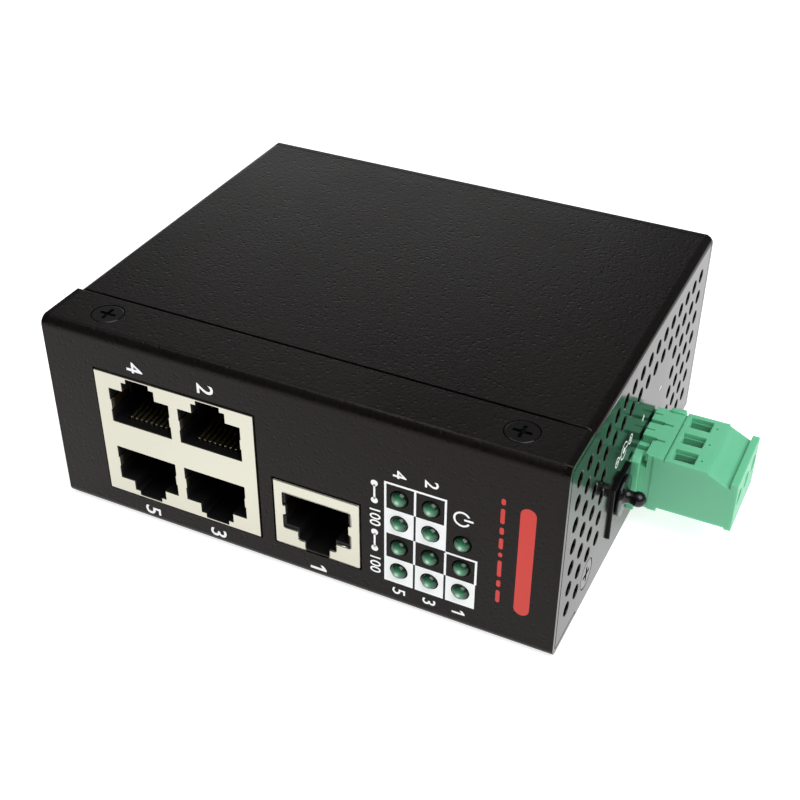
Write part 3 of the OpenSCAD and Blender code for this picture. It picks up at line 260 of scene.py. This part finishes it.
def powder_coat():
    """Black powder coat: grainy on the big faces, smoother and glossier on the narrow sides."""
    material, tree = new_material(
        "powder_coat", (0.0100, 0.0090, 0.0088), 0.4,
        Specular_IOR_Level=0.155, Specular_Tint=(1.0, 0.87, 0.84, 1.0),
    )
    grain, bump = add_grain(tree, 0.45, 0.05, pits=0.6, detail=3.0)
    spots = add_ramp(tree, grain.outputs["Height"], 0.25, 0.62)
    mix_colours(tree, spots, (0.0012, 0.0010, 0.0009), (0.0034, 0.0028, 0.0026))
    away = add_math(tree, "ABSOLUTE", object_axes(tree)["X"])
    half = CASE_W / 2
    side = add_ramp(tree, away, (half - BEND_START) * MM, (half - BEND_END) * MM)
    tree.links.new(add_ramp(tree, side, 0.0, 1.0, 1.0, 0.05), bump.inputs["Strength"])
    fall = add_math(tree, "MULTIPLY", side, 0.19)
    rough = add_math(tree, "SUBTRACT", add_drift(tree, grain, 0.28, 0.36), fall)
    tree.links.new(rough, skin_of(tree).inputs["Roughness"])
    return material


# Colours of a lens by the distance from its axis as a share of its radius: a painted highlight at
# the middle, painted shade towards the rim
LENS_HIGHLIGHT_AND_SHADE = [
    (0.0, (0.75, 0.95, 0.80)), (0.12, (0.70, 0.92, 0.76)), (0.30, (0.13, 0.44, 0.24)),
    (0.6, (0.032, 0.19, 0.09)), (0.9, (0.001, 0.014, 0.006)),
]


def lens_painted_light():
    """Green resin over the lamp's inner cup, with a painted highlight at the middle of the dome and
    painted shade at its rim.
    """
    material, tree = new_material(
        "green_resin_painted_light", (0.03, 0.24, 0.09), 0.08, Transmission_Weight=0.35, IOR=1.45,
    )
    spacing = use_group(tree, SPACING)
    highlight_ramp = tree.nodes.new("ShaderNodeValToRGB")
    share = add_math(tree, "DIVIDE", spacing.outputs["Distance mm"], LAMP_R)
    tree.links.new(share, highlight_ramp.inputs["Fac"])
    stops = highlight_ramp.color_ramp.elements
    while len(stops) < len(LENS_HIGHLIGHT_AND_SHADE):
        stops.new(0.5)
    for stop, (position, colour) in zip(stops, LENS_HIGHLIGHT_AND_SHADE):
        stop.position = position
        stop.color = (*colour, 1.0)
    tree.links.new(highlight_ramp.outputs["Color"], skin_of(tree).inputs["Base Color"])
    return material


FINISH = {
    "coat": powder_coat(),
    "plated": plain_grain("nickel_plate", (0.66, 0.64, 0.54), 0.36, 0.9, 0.003, metal=1.0),
    "zinc": plain_grain("zinc_plate", (0.62, 0.63, 0.66), 0.32, 0.5, 0.006, metal=1.0),
    "screw": plain_grain(
        "black_screw", (0.003, 0.0028, 0.0028), 0.13, 0.5, 0.003, Specular_IOR_Level=0.28,
    ),
    "board": plain_grain("solder_mask", (0.012, 0.11, 0.05), 0.3, 1.2, 0.01),
    "moulding": plain_grain("black_moulding", (0.010, 0.010, 0.011), 0.36, 0.35, 0.008),
    # Gold wire with painted shade: bright near the port face, dark brown deeper in the ports
    "gold": painted_depth_shade(
        "gold_wire_painted_shade", (1.0, 0.83, 0.50), (0.34, 0.24, 0.11), 0.26, 3.0, 5.6, metal=1.0,
    ),
    "tin": plain_grain("tin_plate", (0.74, 0.75, 0.76), 0.28, 0.4, 0.004, metal=1.0),
    "lamp": lens_painted_light(),
    "green_block": plain_grain(
        "green_moulding", (0.142, 0.505, 0.290), 0.42, 0.45, 0.006,
        Subsurface_Weight=0.5, Subsurface_Scale=0.0015, Subsurface_Radius=(0.8, 1.0, 0.9),
    ),
    "rubber": plain_grain(
        "black_rubber", (0.005, 0.005, 0.006), 0.14, 0.6, 0.002, Specular_IOR_Level=0.35,
    ),
    "can": plain_grain("can_sleeve", (0.05, 0.08, 0.14), 0.4, 0.8, 0.01),
    "ferrite": plain_grain("ferrite", (0.04, 0.04, 0.042), 0.5, 0.25, 0.02),
    "ceramic": plain_grain("ceramic", (0.42, 0.33, 0.22), 0.4, 0.3, 0.01),
    "fuse": plain_grain("fuse_skin", (0.42, 0.22, 0.04), 0.35, 0.4, 0.01),
}
# Black socket moulding with painted shade that grows darker deeper behind the port face
SHADED_SOCKET = painted_depth_shade(
    "socket_moulding_painted_shade", (0.006, 0.006, 0.007), (0.001, 0.001, 0.0012), 0.5, 0.5, 4.0,
    size=0.35, depth=0.01, Specular_IOR_Level=0.25,
)
# Nickel shield plate with painted shade: dark brown from just behind the port face, where shade
# falls in the gaps
SHADED_SHIELD = painted_depth_shade(
    "shield_plate_painted_shade", (0.59, 0.575, 0.485), (0.16, 0.115, 0.06), 0.36, 0.25, 0.9,
    metal=1.0, size=0.9, depth=0.003,
)
JACK_GLOSS = plain_grain(
    "jack_moulding", (0.004, 0.004, 0.005), 0.22, 0.5, 0.003, Specular_IOR_Level=0.25,
)
WHITE_INK = plain_grain("white_ink", (0.93, 0.95, 0.95), 0.5, 0.25, 0.004)
RED_INK = plain_grain("red_ink", (0.60, 0.024, 0.013), 0.5, 0.25, 0.004)

# Nodes whose finish isn't the plain one of their slot
OWN_FINISH = {
    "stack_housing": SHADED_SOCKET, "single_housing": SHADED_SOCKET, "power_jack": JACK_GLOSS,
    "stack_shield": SHADED_SHIELD, "single_shield": SHADED_SHIELD,
}
RECORD = frame["record"]
SLOT_OF = {part["node"]: part["material_slot"] for part in RECORD["subparts"]}
BODY_OF = {node: body for body, nodes in RECORD["behaviour"]["bodies"].items() for node in nodes}


def finish_of(node):
    return OWN_FINISH.get(node, FINISH[SLOT_OF[node]])


for node_name, node_object in frame["nodes"].items():
    node_object.data.materials.clear()
    node_object.data.materials.append(finish_of(node_name))

# ---------------------------------------------------------------- rounded edges

# Edges sharper than this are rounded, and are shaded as edges
SHARP = math.radians(32)
# Flat areas wider than this are shaded flat
BROAD = 1.0 * MM
# How near to an outer face a point lies on it
NEAR = 0.02 * MM
# The share of a normal along an axis from which a face counts as square to it
SQUARE = 0.99
# Points further out than this share of a screw's radius lie on its rim
RIM_SHARE = 0.97
# Millimetres of rounding on screw heads, on vents and on both sheets at the seam
RIM_WIDTH, VENT_WIDTH, COVER_LIP, SHELL_LIP = 0.22, 0.18, 0.35, 0.3


def add_piece(mesh, name, body, slot_name, material=None):
    mesh.materials.clear()
    mesh.materials.append(material or FINISH[slot_name])
    piece = bpy.data.objects.new(name, mesh)
    bpy.context.scene.collection.objects.link(piece)
    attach(piece, body)
    return piece


def smooth_by_angle(mesh):
    mesh.polygons.foreach_set("use_smooth", [True] * len(mesh.polygons))
    mesh.set_sharp_from_angle(angle=SHARP)
    mesh.update()


def flat_patch(face, seen):
    """The faces that lie flat with a face and join it."""
    seen.add(face.index)
    patch = [face]
    for member in patch:
        for edge in member.edges:
            for other in edge.link_faces:
                if other.index not in seen and other.normal.dot(face.normal) > 0.99999:
                    seen.add(other.index)
                    patch.append(other)
    return patch


def flatten_broad_faces(mesh):
    """Shades every broad flat area flat, so that it stays flat up to its bends."""
    shape = bmesh.new()
    shape.from_mesh(mesh)
    seen, broad = set(), set()
    for face in shape.faces:
        if face.index in seen:
            continue
        patch = flat_patch(face, seen)
        points = [vert.co for member in patch for vert in member.verts]
        low = Vector([min(point[i] for point in points) for i in range(3)])
        high = Vector([max(point[i] for point in points) for i in range(3)])
        if sum(member.calc_area() for member in patch) / (high - low).length > BROAD:
            broad.update(member.index for member in patch)
    shape.free()
    mesh.polygons.foreach_set("use_smooth", [i not in broad for i in range(len(mesh.polygons))])
    mesh.update()


def round_edges(piece, width, harden, clamp):
    bevel = piece.modifiers.new("rounded_edges", "BEVEL")
    bevel.width = width * MM
    bevel.segments = 2
    bevel.limit_method = "ANGLE"
    bevel.angle_limit = SHARP
    bevel.harden_normals = harden
    bevel.use_clamp_overlap = clamp
    bevel.miter_outer = "MITER_ARC"


def bevel_edges(shape, edges, width, segments=3):
    bmesh.ops.bevel(
        shape, geom=edges, offset=width * MM, offset_type="OFFSET", segments=segments,
        profile=0.5, affect="EDGES", clamp_overlap=False, material=-1,
    )


def loose_parts(shape):
    """Lists of verts, one for each part of a shape that joins no other."""
    seen = set()
    for first in shape.verts:
        if first in seen:
            continue
        seen.add(first)
        part = [first]
        for vert in part:
            for edge in vert.link_edges:
                other = edge.other_vert(vert)
                if other not in seen:
                    seen.add(other)
                    part.append(other)
        yield part


def round_rims(shape, axis):
    """Rounds the outer edge of every head in a set of screws that lie along one axis."""
    across = [i for i in range(3) if i != axis]
    away, reach = {}, {}
    for screw in loose_parts(shape):
        spans = [[vert.co[i] for vert in screw] for i in across]
        centre = [(min(span) + max(span)) / 2 for span in spans]
        for vert in screw:
            away[vert] = math.hypot(*(vert.co[i] - c for i, c in zip(across, centre)))
        widest = max(away[vert] for vert in screw)
        reach.update((vert, widest * RIM_SHARE) for vert in screw)
    rims = []
    for edge in shape.edges:
        if edge.is_manifold and all(away[vert] > reach[vert] for vert in edge.verts):
            normals = [abs(face.normal[axis]) for face in edge.link_faces]
            if max(normals) > SQUARE and min(normals) < 0.9:
                rims.append(edge)
    bevel_edges(shape, rims, RIM_WIDTH)


def round_vents(shape):
    """Rounds the outer edge of every small round hole in the housing's two narrow sides."""
    reach = max(abs(vert.co.x) for vert in shape.verts) - NEAR
    rims = []
    for edge in shape.edges:
        outside = all(abs(vert.co.x) > reach for vert in edge.verts)
        if edge.is_manifold and outside and edge.calc_length() < 0.4 * MM:
            normals = [abs(face.normal.x) for face in edge.link_faces]
            if max(normals) > SQUARE and min(normals) < 0.1:
                rims.append(edge)
    bevel_edges(shape, rims, VENT_WIDTH, segments=2)


def round_lip(shape, way, width):
    """Rounds the upper edge of the sheet at the seam. way is the sign of Y that it faces."""
    top = max(vert.co.z for vert in shape.verts) - NEAR
    reach = max(way * vert.co.y for vert in shape.verts if vert.co.z > top) - NEAR
    lip = []
    for edge in shape.edges:
        if edge.is_manifold and all(way * vert.co.y > reach for vert in edge.verts):
            normals = [face.normal for face in edge.link_faces]
            ends = any(way * normal.y > SQUARE for normal in normals)
            covers = any(abs(normal.y) < 0.01 and normal.z > 0.3 for normal in normals)
            if ends and covers:
                lip.append(edge)
    bevel_edges(shape, lip, width)


SCREW_AXES = {"flange_screws": 2, "side_screws": 0, "rail_screws": 1}
SHEET_METAL = ("front_shell", "cover", "base_pan")
# Nodes with edges so close together that the rounding has to give way to them
CROWDED = SHEET_METAL + ("plug_body", "terminal_header")
# Nodes that keep the triangles of their flat areas, since joined ones shade badly there
KEEP_TRIANGLES = ("plug_body",)


def refine(node, width):
    """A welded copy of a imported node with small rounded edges, which stands in for the node."""
    shape = bmesh.new()
    shape.from_mesh(frame["nodes"][node].data)
    bmesh.ops.remove_doubles(shape, verts=shape.verts, dist=2e-6)
    if node not in KEEP_TRIANGLES:
        bmesh.ops.dissolve_limit(
            shape, angle_limit=math.radians(0.5), use_dissolve_boundaries=False,
            verts=shape.verts, edges=shape.edges, delimit={"NORMAL"},
        )
    if node in SCREW_AXES:
        round_rims(shape, SCREW_AXES[node])
    if node == "cover":
        round_vents(shape)
        round_lip(shape, -1, COVER_LIP)
    if node == "front_shell":
        round_lip(shape, 1, SHELL_LIP)
    mesh = bpy.data.meshes.new(node + "_finished")
    shape.to_mesh(mesh)
    shape.free()
    smooth_by_angle(mesh)
    flatten_broad_faces(mesh)
    piece = add_piece(mesh, mesh.name, BODY_OF[node], SLOT_OF[node], finish_of(node))
    if width:
        round_edges(piece, width, harden=node not in SHEET_METAL, clamp=node in CROWDED)
    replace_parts(piece, node)


# Millimetres of rounding on the other edges of each node
EDGE_WIDTHS = {
    "front_shell": 0.15, "cover": 0.15, "base_pan": 0.12,
    "flange_screws": 0.0, "side_screws": 0.0, "rail_screws": 0.0,
    "stack_shield": 0.06, "single_shield": 0.25, "stack_housing": 0.05, "single_housing": 0.05,
    "stack_contacts": 0.08, "single_contacts": 0.08,
    "power_jack": 0.15, "terminal_header": 0.1, "plug_body": 0.1,
    "rail_bracket": 0.25, "rail_latch": 0.25,
}
for node_name, edge_width in EDGE_WIDTHS.items():
    refine(node_name, edge_width)

# ---------------------------------------------------------------- lamps, dust plug and spring


def finish_shape(shape, name, body, slot_name):
    """Closes a turned or bent shape, points its faces outwards and makes it a piece."""
    bmesh.ops.remove_doubles(shape, verts=shape.verts, dist=1e-6)
    bmesh.ops.recalc_face_normals(shape, faces=shape.faces)
    mesh = bpy.data.meshes.new(name)
    shape.to_mesh(mesh)
    shape.free()
    smooth_by_angle(mesh)
    return add_piece(mesh, name, body, slot_name)


def turned(shape, origin, axis, outline, steps):
    """Spins an outline round an axis through origin. Its points are (radius, way along)."""
    across = axis.orthogonal().normalized()
    verts = [shape.verts.new(origin + (across * r + axis * way) * MM) for r, way in outline]
    edges = [shape.edges.new(pair) for pair in zip(verts, verts[1:])]
    bmesh.ops.spin(
        shape, geom=verts + edges, cent=origin, axis=axis, angle=2 * math.pi, steps=steps,
        use_merge=True,
    )


DOME_FRONT = -1.1
LENS_OUTLINE = [
    (LAMP_R * math.sin(angle), DOME_FRONT + LAMP_R * (1 - math.cos(angle)))
    for angle in (math.radians(degrees) for degrees in range(0, 91, 9))
]
LENS_OUTLINE += [
    (LAMP_R, 3.1), (1.55, 3.2), (1.85, 3.2), (1.9, 3.28), (1.9, 4.12), (1.85, 4.2), (0.0, 4.2),
]
CUP_OUTLINE = [
    (0.0, 1.75), (0.34, 1.72), (0.86, 1.15), (0.98, 1.15), (0.98, 1.35), (0.62, 2.6), (0.0, 2.6),
]
lenses, cups = bmesh.new(), bmesh.new()
for column, count in enumerate(LAMP_COUNTS):
    for row in range(count):
        spot = at(LAMP_COLUMN + COLUMN_PITCH * column, 0, LAMP_ROW + ROW_PITCH * row)
        turned(lenses, spot, BACK, LENS_OUTLINE, steps=32)
        turned(cups, spot, BACK, CUP_OUTLINE, steps=20)
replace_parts(finish_shape(lenses, "lamp_lenses", "housing", "lamp"), "lamps")
finish_shape(cups, "lamp_cups", "housing", "tin")

# The dust plug's outer end, from the face of the power jack, and its flange, stem and ball
PLUG_END, FLANGE_R, STEM_R, BALL_R, BALL_STEPS = 4.4, 3.8, 1.15, 1.4, 14
PLUG_OUTLINE = [
    (0.0, -0.4), (1.3, -0.4), (1.3, -6.9), (1.4, -7.0), (2.75, -7.0), (2.9, -6.8), (2.9, 0.02),
    (FLANGE_R - 0.15, 0.15), (FLANGE_R - 0.04, 0.19), (FLANGE_R, 0.3),
    (FLANGE_R, 0.5), (FLANGE_R - 0.04, 0.61), (FLANGE_R - 0.15, 0.65),
    (2.0, 0.66), (1.62, 0.76), (1.36, 1.0), (1.22, 1.3), (STEM_R, 1.7),
]
neck = math.asin(STEM_R / BALL_R)
for step in range(BALL_STEPS + 1):
    angle = neck + (math.pi - neck) * step / BALL_STEPS
    PLUG_OUTLINE.append(
        (BALL_R * math.sin(angle), PLUG_END - BALL_R - BALL_R * math.cos(angle))
    )
stopper = bmesh.new()
stopper_foot = at(0, JACK_Y, JACK_Z)
stopper_foot.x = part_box("dust_plug")[1].x - PLUG_END * MM
turned(stopper, stopper_foot, RIGHT, PLUG_OUTLINE, steps=48)
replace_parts(finish_shape(stopper, "dust_stopper", BODY_OF["dust_plug"], "rubber"), "dust_plug")

SPRING_LOW, SPRING_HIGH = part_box("latch_spring")
COIL_LENGTH = SPRING_HIGH.x - SPRING_LOW.x
COIL_END = (SPRING_LOW + SPRING_HIGH) / 2
COIL_END.x = SPRING_LOW.x
WIRE_R, COIL_TURNS, TURN_STEPS = 0.2 * MM, 6, 36
COIL_R = (SPRING_HIGH.z - SPRING_LOW.z) / 2 - WIRE_R


def add_coil():
    """Round wire wound in a helix. The end turns lie flat, the rest share the length."""
    shape = bmesh.new()
    start = Matrix.Translation(COIL_END + Vector((WIRE_R, 0, COIL_R)))
    made = bmesh.ops.create_circle(
        shape, cap_ends=False, segments=12, radius=WIRE_R,
        matrix=start @ Matrix.Rotation(math.pi / 2, 4, "X"),
    )
    section = made["verts"] + shape.edges[:]
    flat = 2 * WIRE_R
    live = COIL_LENGTH - 2 * WIRE_R - 2 * flat
    for turns, rise in ((1, flat), (COIL_TURNS - 2, live), (1, flat)):
        steps = TURN_STEPS * turns
        made = bmesh.ops.spin(
            shape, geom=section, cent=COIL_END, axis=RIGHT, dvec=(rise / steps, 0, 0),
            angle=2 * math.pi * turns, steps=steps, use_duplicate=False,
        )
        section = made["geom_last"]
    bmesh.ops.holes_fill(shape, edges=[e for e in shape.edges if e.is_boundary], sides=0)
    return finish_shape(shape, "latch_coil", "housing", "zinc")


coil = add_coil()
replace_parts(coil, "latch_spring")
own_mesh(coil)

# ---------------------------------------------------------------- printing

# Half the thickness of the ink, and the height of its middle over the face
INK, INK_LIFT = 0.01, 0.012
# Capitals of the plain face stand this share of its size, and are made bolder by a share of theirs
CAPITAL_SHARE, BOLDER = 0.7, 0.012


def flat_shape(*outlines):
    """A thin plate from closed outlines in millimetres. Inner outlines are holes."""
    curve = bpy.data.curves.new("outline", "CURVE")
    curve.dimensions = "2D"
    curve.fill_mode = "BOTH"
    curve.extrude = INK * MM
    for outline in outlines:
        spline = curve.splines.new("POLY")
        spline.points.add(len(outline) - 1)
        for point, (u, v) in zip(spline.points, outline):
            point.co = (u * MM, v * MM, 0.0, 1.0)
        spline.use_cyclic_u = True
    return curve


def scaled(outline, size):
    return [(u * size, v * size) for u, v in outline]


# A figure 1 with a flag, and a plus sign, both to be scaled
ONE_OUTLINE = [
    (0.19, -0.5), (0.19, 0.5), (0.05, 0.5), (-0.19, 0.3), (-0.19, 0.13), (0.02, 0.25), (0.02, -0.5),
]
PLUS = [
    (-0.22, -1), (0.22, -1), (0.22, -0.22), (1, -0.22), (1, 0.22), (0.22, 0.22),
    (0.22, 1), (-0.22, 1), (-0.22, 0.22), (-1, 0.22), (-1, -0.22), (-0.22, -0.22),
]


def figures(text, height):
    """Centred figures of a height in millimetres as a thin plate. The 1 is the one drawn here."""
    if text == "1":
        return flat_shape(scaled(ONE_OUTLINE, height))
    curve = bpy.data.curves.new("figures", "FONT")
    curve.body = text
    curve.size = height * MM / CAPITAL_SHARE
    curve.offset = height * MM * BOLDER
    curve.extrude = INK * MM
    curve.align_x = "CENTER"
    curve.align_y = "CENTER"
    return curve


def printed(name, curves, material):
    """Joins flat curves, each with its own place, into one printed piece."""
    shape = bmesh.new()
    for curve, place in curves:
        drawn = bpy.data.objects.new("drawn", curve)
        bpy.context.scene.collection.objects.link(drawn)
        graph = bpy.context.evaluated_depsgraph_get()
        flat = bpy.data.meshes.new_from_object(drawn.evaluated_get(graph))
        flat.transform(place)
        shape.from_mesh(flat)
        bpy.data.objects.remove(drawn)
        bpy.data.curves.remove(curve)
        bpy.data.meshes.remove(flat)
    mesh = bpy.data.meshes.new(name)
    shape.to_mesh(mesh)
    shape.free()
    add_piece(mesh, name, "housing", "coat", material)


def arc(x, y, radius, start, stop, steps):
    """Points along a part of a circle between two angles."""
    angles = [start + (stop - start) * i / steps for i in range(steps + 1)]
    return [(x + radius * math.cos(a), y + radius * math.sin(a)) for a in angles]


def ring(x, y, radius):
    return arc(x, y, radius, 0, 2 * math.pi, 40)[:-1]


def open_ring(outer, inner):
    """A band round most of a circle, open at its top."""
    gap_end, gap_start = math.radians(120), math.radians(60 + 360)
    sweeps = [arc(0, 0, radius, gap_end, gap_start, 30) for radius in (outer, inner)]
    return sweeps[0] + sweeps[1][::-1]


def rectangle(x0, y0, x1, y1):
    return [(x0, y0), (x1, y0), (x1, y1), (x0, y1)]


def pill(u0, v0, u1, v1):
    """A bar with round ends, longer along V."""
    u, radius = (u0 + u1) / 2, (u1 - u0) / 2
    top = arc(u, v1 - radius, radius, 0, math.pi, 16)
    return top + arc(u, v0 + radius, radius, math.pi, 2 * math.pi, 16)


def on_plane(origin, right, up):
    """Carries flat X and Y onto a plane through origin."""
    turn = Matrix((right, up, right.cross(up))).transposed().to_4x4()
    return Matrix.Translation(origin) @ turn


FRONT = on_plane(at(0, -INK_LIFT, 0), RIGHT, UP)


def front_turned(x, z):
    """On the port face with the top of the print towards +X."""
    return on_plane(at(x, -INK_LIFT, z), -UP, RIGHT)


def side_turned(y, z):
    """On the power side with the top of the print towards +Z."""
    return on_plane(at(CASE_W + INK_LIFT, y, z), BACK, UP)


PORT_FIGURES = [
    ("4", 18.4, 33.4), ("2", 32.3, 33.4), ("5", 18.5, 2.6), ("3", 32.3, 2.6), ("1", 52.5, 2.6),
]
printed(
    "port_figures",
    [(figures(text, 3.1), front_turned(x, z)) for text, x, z in PORT_FIGURES],
    WHITE_INK,
)

# The lines of the grid round the lamps, from the left and from the top
GRID_X = 65.05, 70.45, 75.9, 81.4
X0, X1, X2, X3 = GRID_X
GRID_Z = 26.1, 20.75, 15.55, 10.45, 5.1
Z0, Z1, Z2, Z3 = GRID_Z[:4]
HALF_LINE, LINE = 0.19, 0.38
CELL_HOLE = 1.62
LAMP_TOP = LAMP_ROW + 3 * ROW_PITCH
cells = []
for row, count in ((1, 2), (3, 3)):
    for column in range(count):
        left = GRID_X[column] + (HALF_LINE if column else 0)
        cell = rectangle(left, GRID_Z[row + 1], GRID_X[column + 1] - HALF_LINE, GRID_Z[row])
        hole = ring(LAMP_COLUMN + COLUMN_PITCH * column, LAMP_TOP - ROW_PITCH * row, CELL_HOLE)
        cells.append((cell, hole))
lines = [
    (X0, Z0 - LINE, X2, Z0),
    (X0, Z1, X0 + LINE, Z0 - LINE),
    (X1 - HALF_LINE, Z1, X1 + HALF_LINE, Z0 - LINE),
    (X2 - LINE, Z1, X2, Z0 - LINE),
    (X2 - HALF_LINE, Z2, X2, Z1),
    (X2, Z2 - LINE, X3, Z2),
    (X0, Z3, X0 + LINE, Z2),
    (X1 - HALF_LINE, Z3, X1 + HALF_LINE, Z2),
    (X2 - HALF_LINE, Z3, X2 + HALF_LINE, Z2 - LINE),
    (X3 - LINE, Z3, X3, Z2 - LINE),
]
grid = cells + [(rectangle(*line),) for line in lines]
printed("lamp_grid", [(flat_shape(*outlines), FRONT) for outlines in grid], WHITE_INK)

LAMP_FIGURES = [
    ("4", 67.6, 28.1), ("2", 73.1, 28.1), ("5", 67.6, 3.3), ("3", 73.1, 3.3), ("1", 78.5, 3.3),
]
# The column of marks beside the lamps: a link sign and a speed for every second row
MARK_X = 63.3
POWER_SIGN = front_turned(78.5, 23.2)
marks = [(figures(text, 2.3), front_turned(x, z)) for text, x, z in LAMP_FIGURES]
for row in (1, 3):
    marks.append((figures("100", 1.9), front_turned(MARK_X, LAMP_TOP - ROW_PITCH * row)))
for row in (0, 2):
    place = front_turned(MARK_X, LAMP_TOP - ROW_PITCH * row)
    marks.append((flat_shape(rectangle(-1.5, -0.17, 1.5, 0.17)), place))
    marks += [(flat_shape(ring(end, 0, 0.62)), place) for end in (-1.75, 1.75)]
marks.append((flat_shape(open_ring(1.5, 1.15)), POWER_SIGN))
marks.append((flat_shape(rectangle(-0.18, 0.35, 0.18, 1.9)), POWER_SIGN))
printed("lamp_marks", marks, WHITE_INK)

DASHES, DASH_GAP = (2.6, 1.4, 3.4, 0.9, 2.2, 1.4, 3.0, 1.2), 0.75
stripes = []
dash_z = 8.4
for dash in DASHES:
    stripes.append((flat_shape(pill(84.75, dash_z, 85.45, dash_z + dash)), FRONT))
    dash_z += dash + DASH_GAP
stripes.append((flat_shape(pill(87.9, 7.3, 90.5, 29.2)), FRONT))
printed("red_stripes", stripes, RED_INK)


def circle_line(radius, width=0.2):
    return flat_shape(ring(0, 0, radius), ring(0, 0, radius - width))


# The polarity sign over the power jack: its middle, and how far out its poles are
SIGN_Z, POLE_OUT = 21.4, 3.6
MIDDLE = side_turned(JACK_Y, SIGN_Z)
MINUS_POLE = side_turned(JACK_Y - POLE_OUT, SIGN_Z)
PLUS_POLE = side_turned(JACK_Y + POLE_OUT, SIGN_Z)
pole_marks = [
    (flat_shape(ring(0, 0, 0.55)), MIDDLE),
    (flat_shape(open_ring(1.7, 1.5)), MIDDLE @ Matrix.Rotation(-math.pi / 2, 4, "Z")),
    (circle_line(1.0), MINUS_POLE),
    (circle_line(1.0), PLUS_POLE),
    (flat_shape(rectangle(-0.5, -0.1, 0.5, 0.1)), MINUS_POLE),
    (flat_shape(scaled(PLUS, 0.5)), PLUS_POLE),
    (flat_shape(rectangle(-2.6, -0.1, -1.65, 0.1)), MIDDLE),
    (flat_shape(rectangle(0.5, -0.1, 2.6, 0.1)), MIDDLE),
    (flat_shape(scaled(PLUS, 0.75)), side_turned(41.0, 21.0)),
    (flat_shape(rectangle(-0.8, -0.16, 0.8, 0.16)), side_turned(51.2, 21.0)),
]
printed("power_marks", pole_marks, WHITE_INK)

# ---------------------------------------------------------------- stage, light, camera


def add_stage():
    shape = bmesh.new()
    bmesh.ops.create_grid(shape, x_segments=1, y_segments=1, size=3.0)
    mesh = bpy.data.meshes.new("floor")
    shape.to_mesh(mesh)
    shape.free()
    material, _ = new_material(
        "pale_floor", (0.60, 0.60, 0.60), 0.8,
        Emission_Color=(1.0, 1.0, 1.0, 1.0), Emission_Strength=0.78,
    )
    mesh.materials.append(material)
    floor = bpy.data.objects.new("floor", mesh)
    floor.location.z = -0.2 * MM
    bpy.context.scene.collection.objects.link(floor)


def add_aimed(name, data, place, way):
    """Puts a light or a camera at a place, looking along way."""
    holder = bpy.data.objects.new(name, data)
    holder.location = place
    holder.rotation_mode = "QUATERNION"
    holder.rotation_quaternion = Vector(way).to_track_quat("-Z", "Y")
    bpy.context.scene.collection.objects.link(holder)
    return holder


def add_light(name, place, target, size, power):
    lamp = bpy.data.lights.new(name, "AREA")
    lamp.shape = "SQUARE"
    lamp.size = size
    lamp.energy = power
    add_aimed(name, lamp, place, Vector(target) - Vector(place))


add_stage()
world = bpy.data.worlds.new("studio")
world.use_nodes = True
set_inputs(world.node_tree.nodes["Background"], Color=(1.0, 1.0, 1.0, 1.0), Strength=0.19)
bpy.context.scene.world = world
bpy.context.scene.view_settings.view_transform = "Standard"
add_light("overhead", (0.55, -0.2, 1.05), (0, 0, 0), 1.08, 17)
add_light("left_top", (-0.35, 0.28, 1.05), (0, 0, 0), 0.4, 1.75)
add_light("left_back", (-0.62, 1.22, 0.38), (0, 0, 0.03), 0.7, 1.3)

camera = bpy.data.cameras.new("camera")
camera.sensor_width = 36
camera.lens = 58.8807
camera.shift_x = 0.01553
camera.shift_y = 0.01287
camera.clip_start = 0.01
camera.clip_end = 20
bpy.context.scene.camera = add_aimed(
    "camera", camera, at(136.19, -143.13, 155.63), (-0.35791, 0.72616, -0.58702),
)
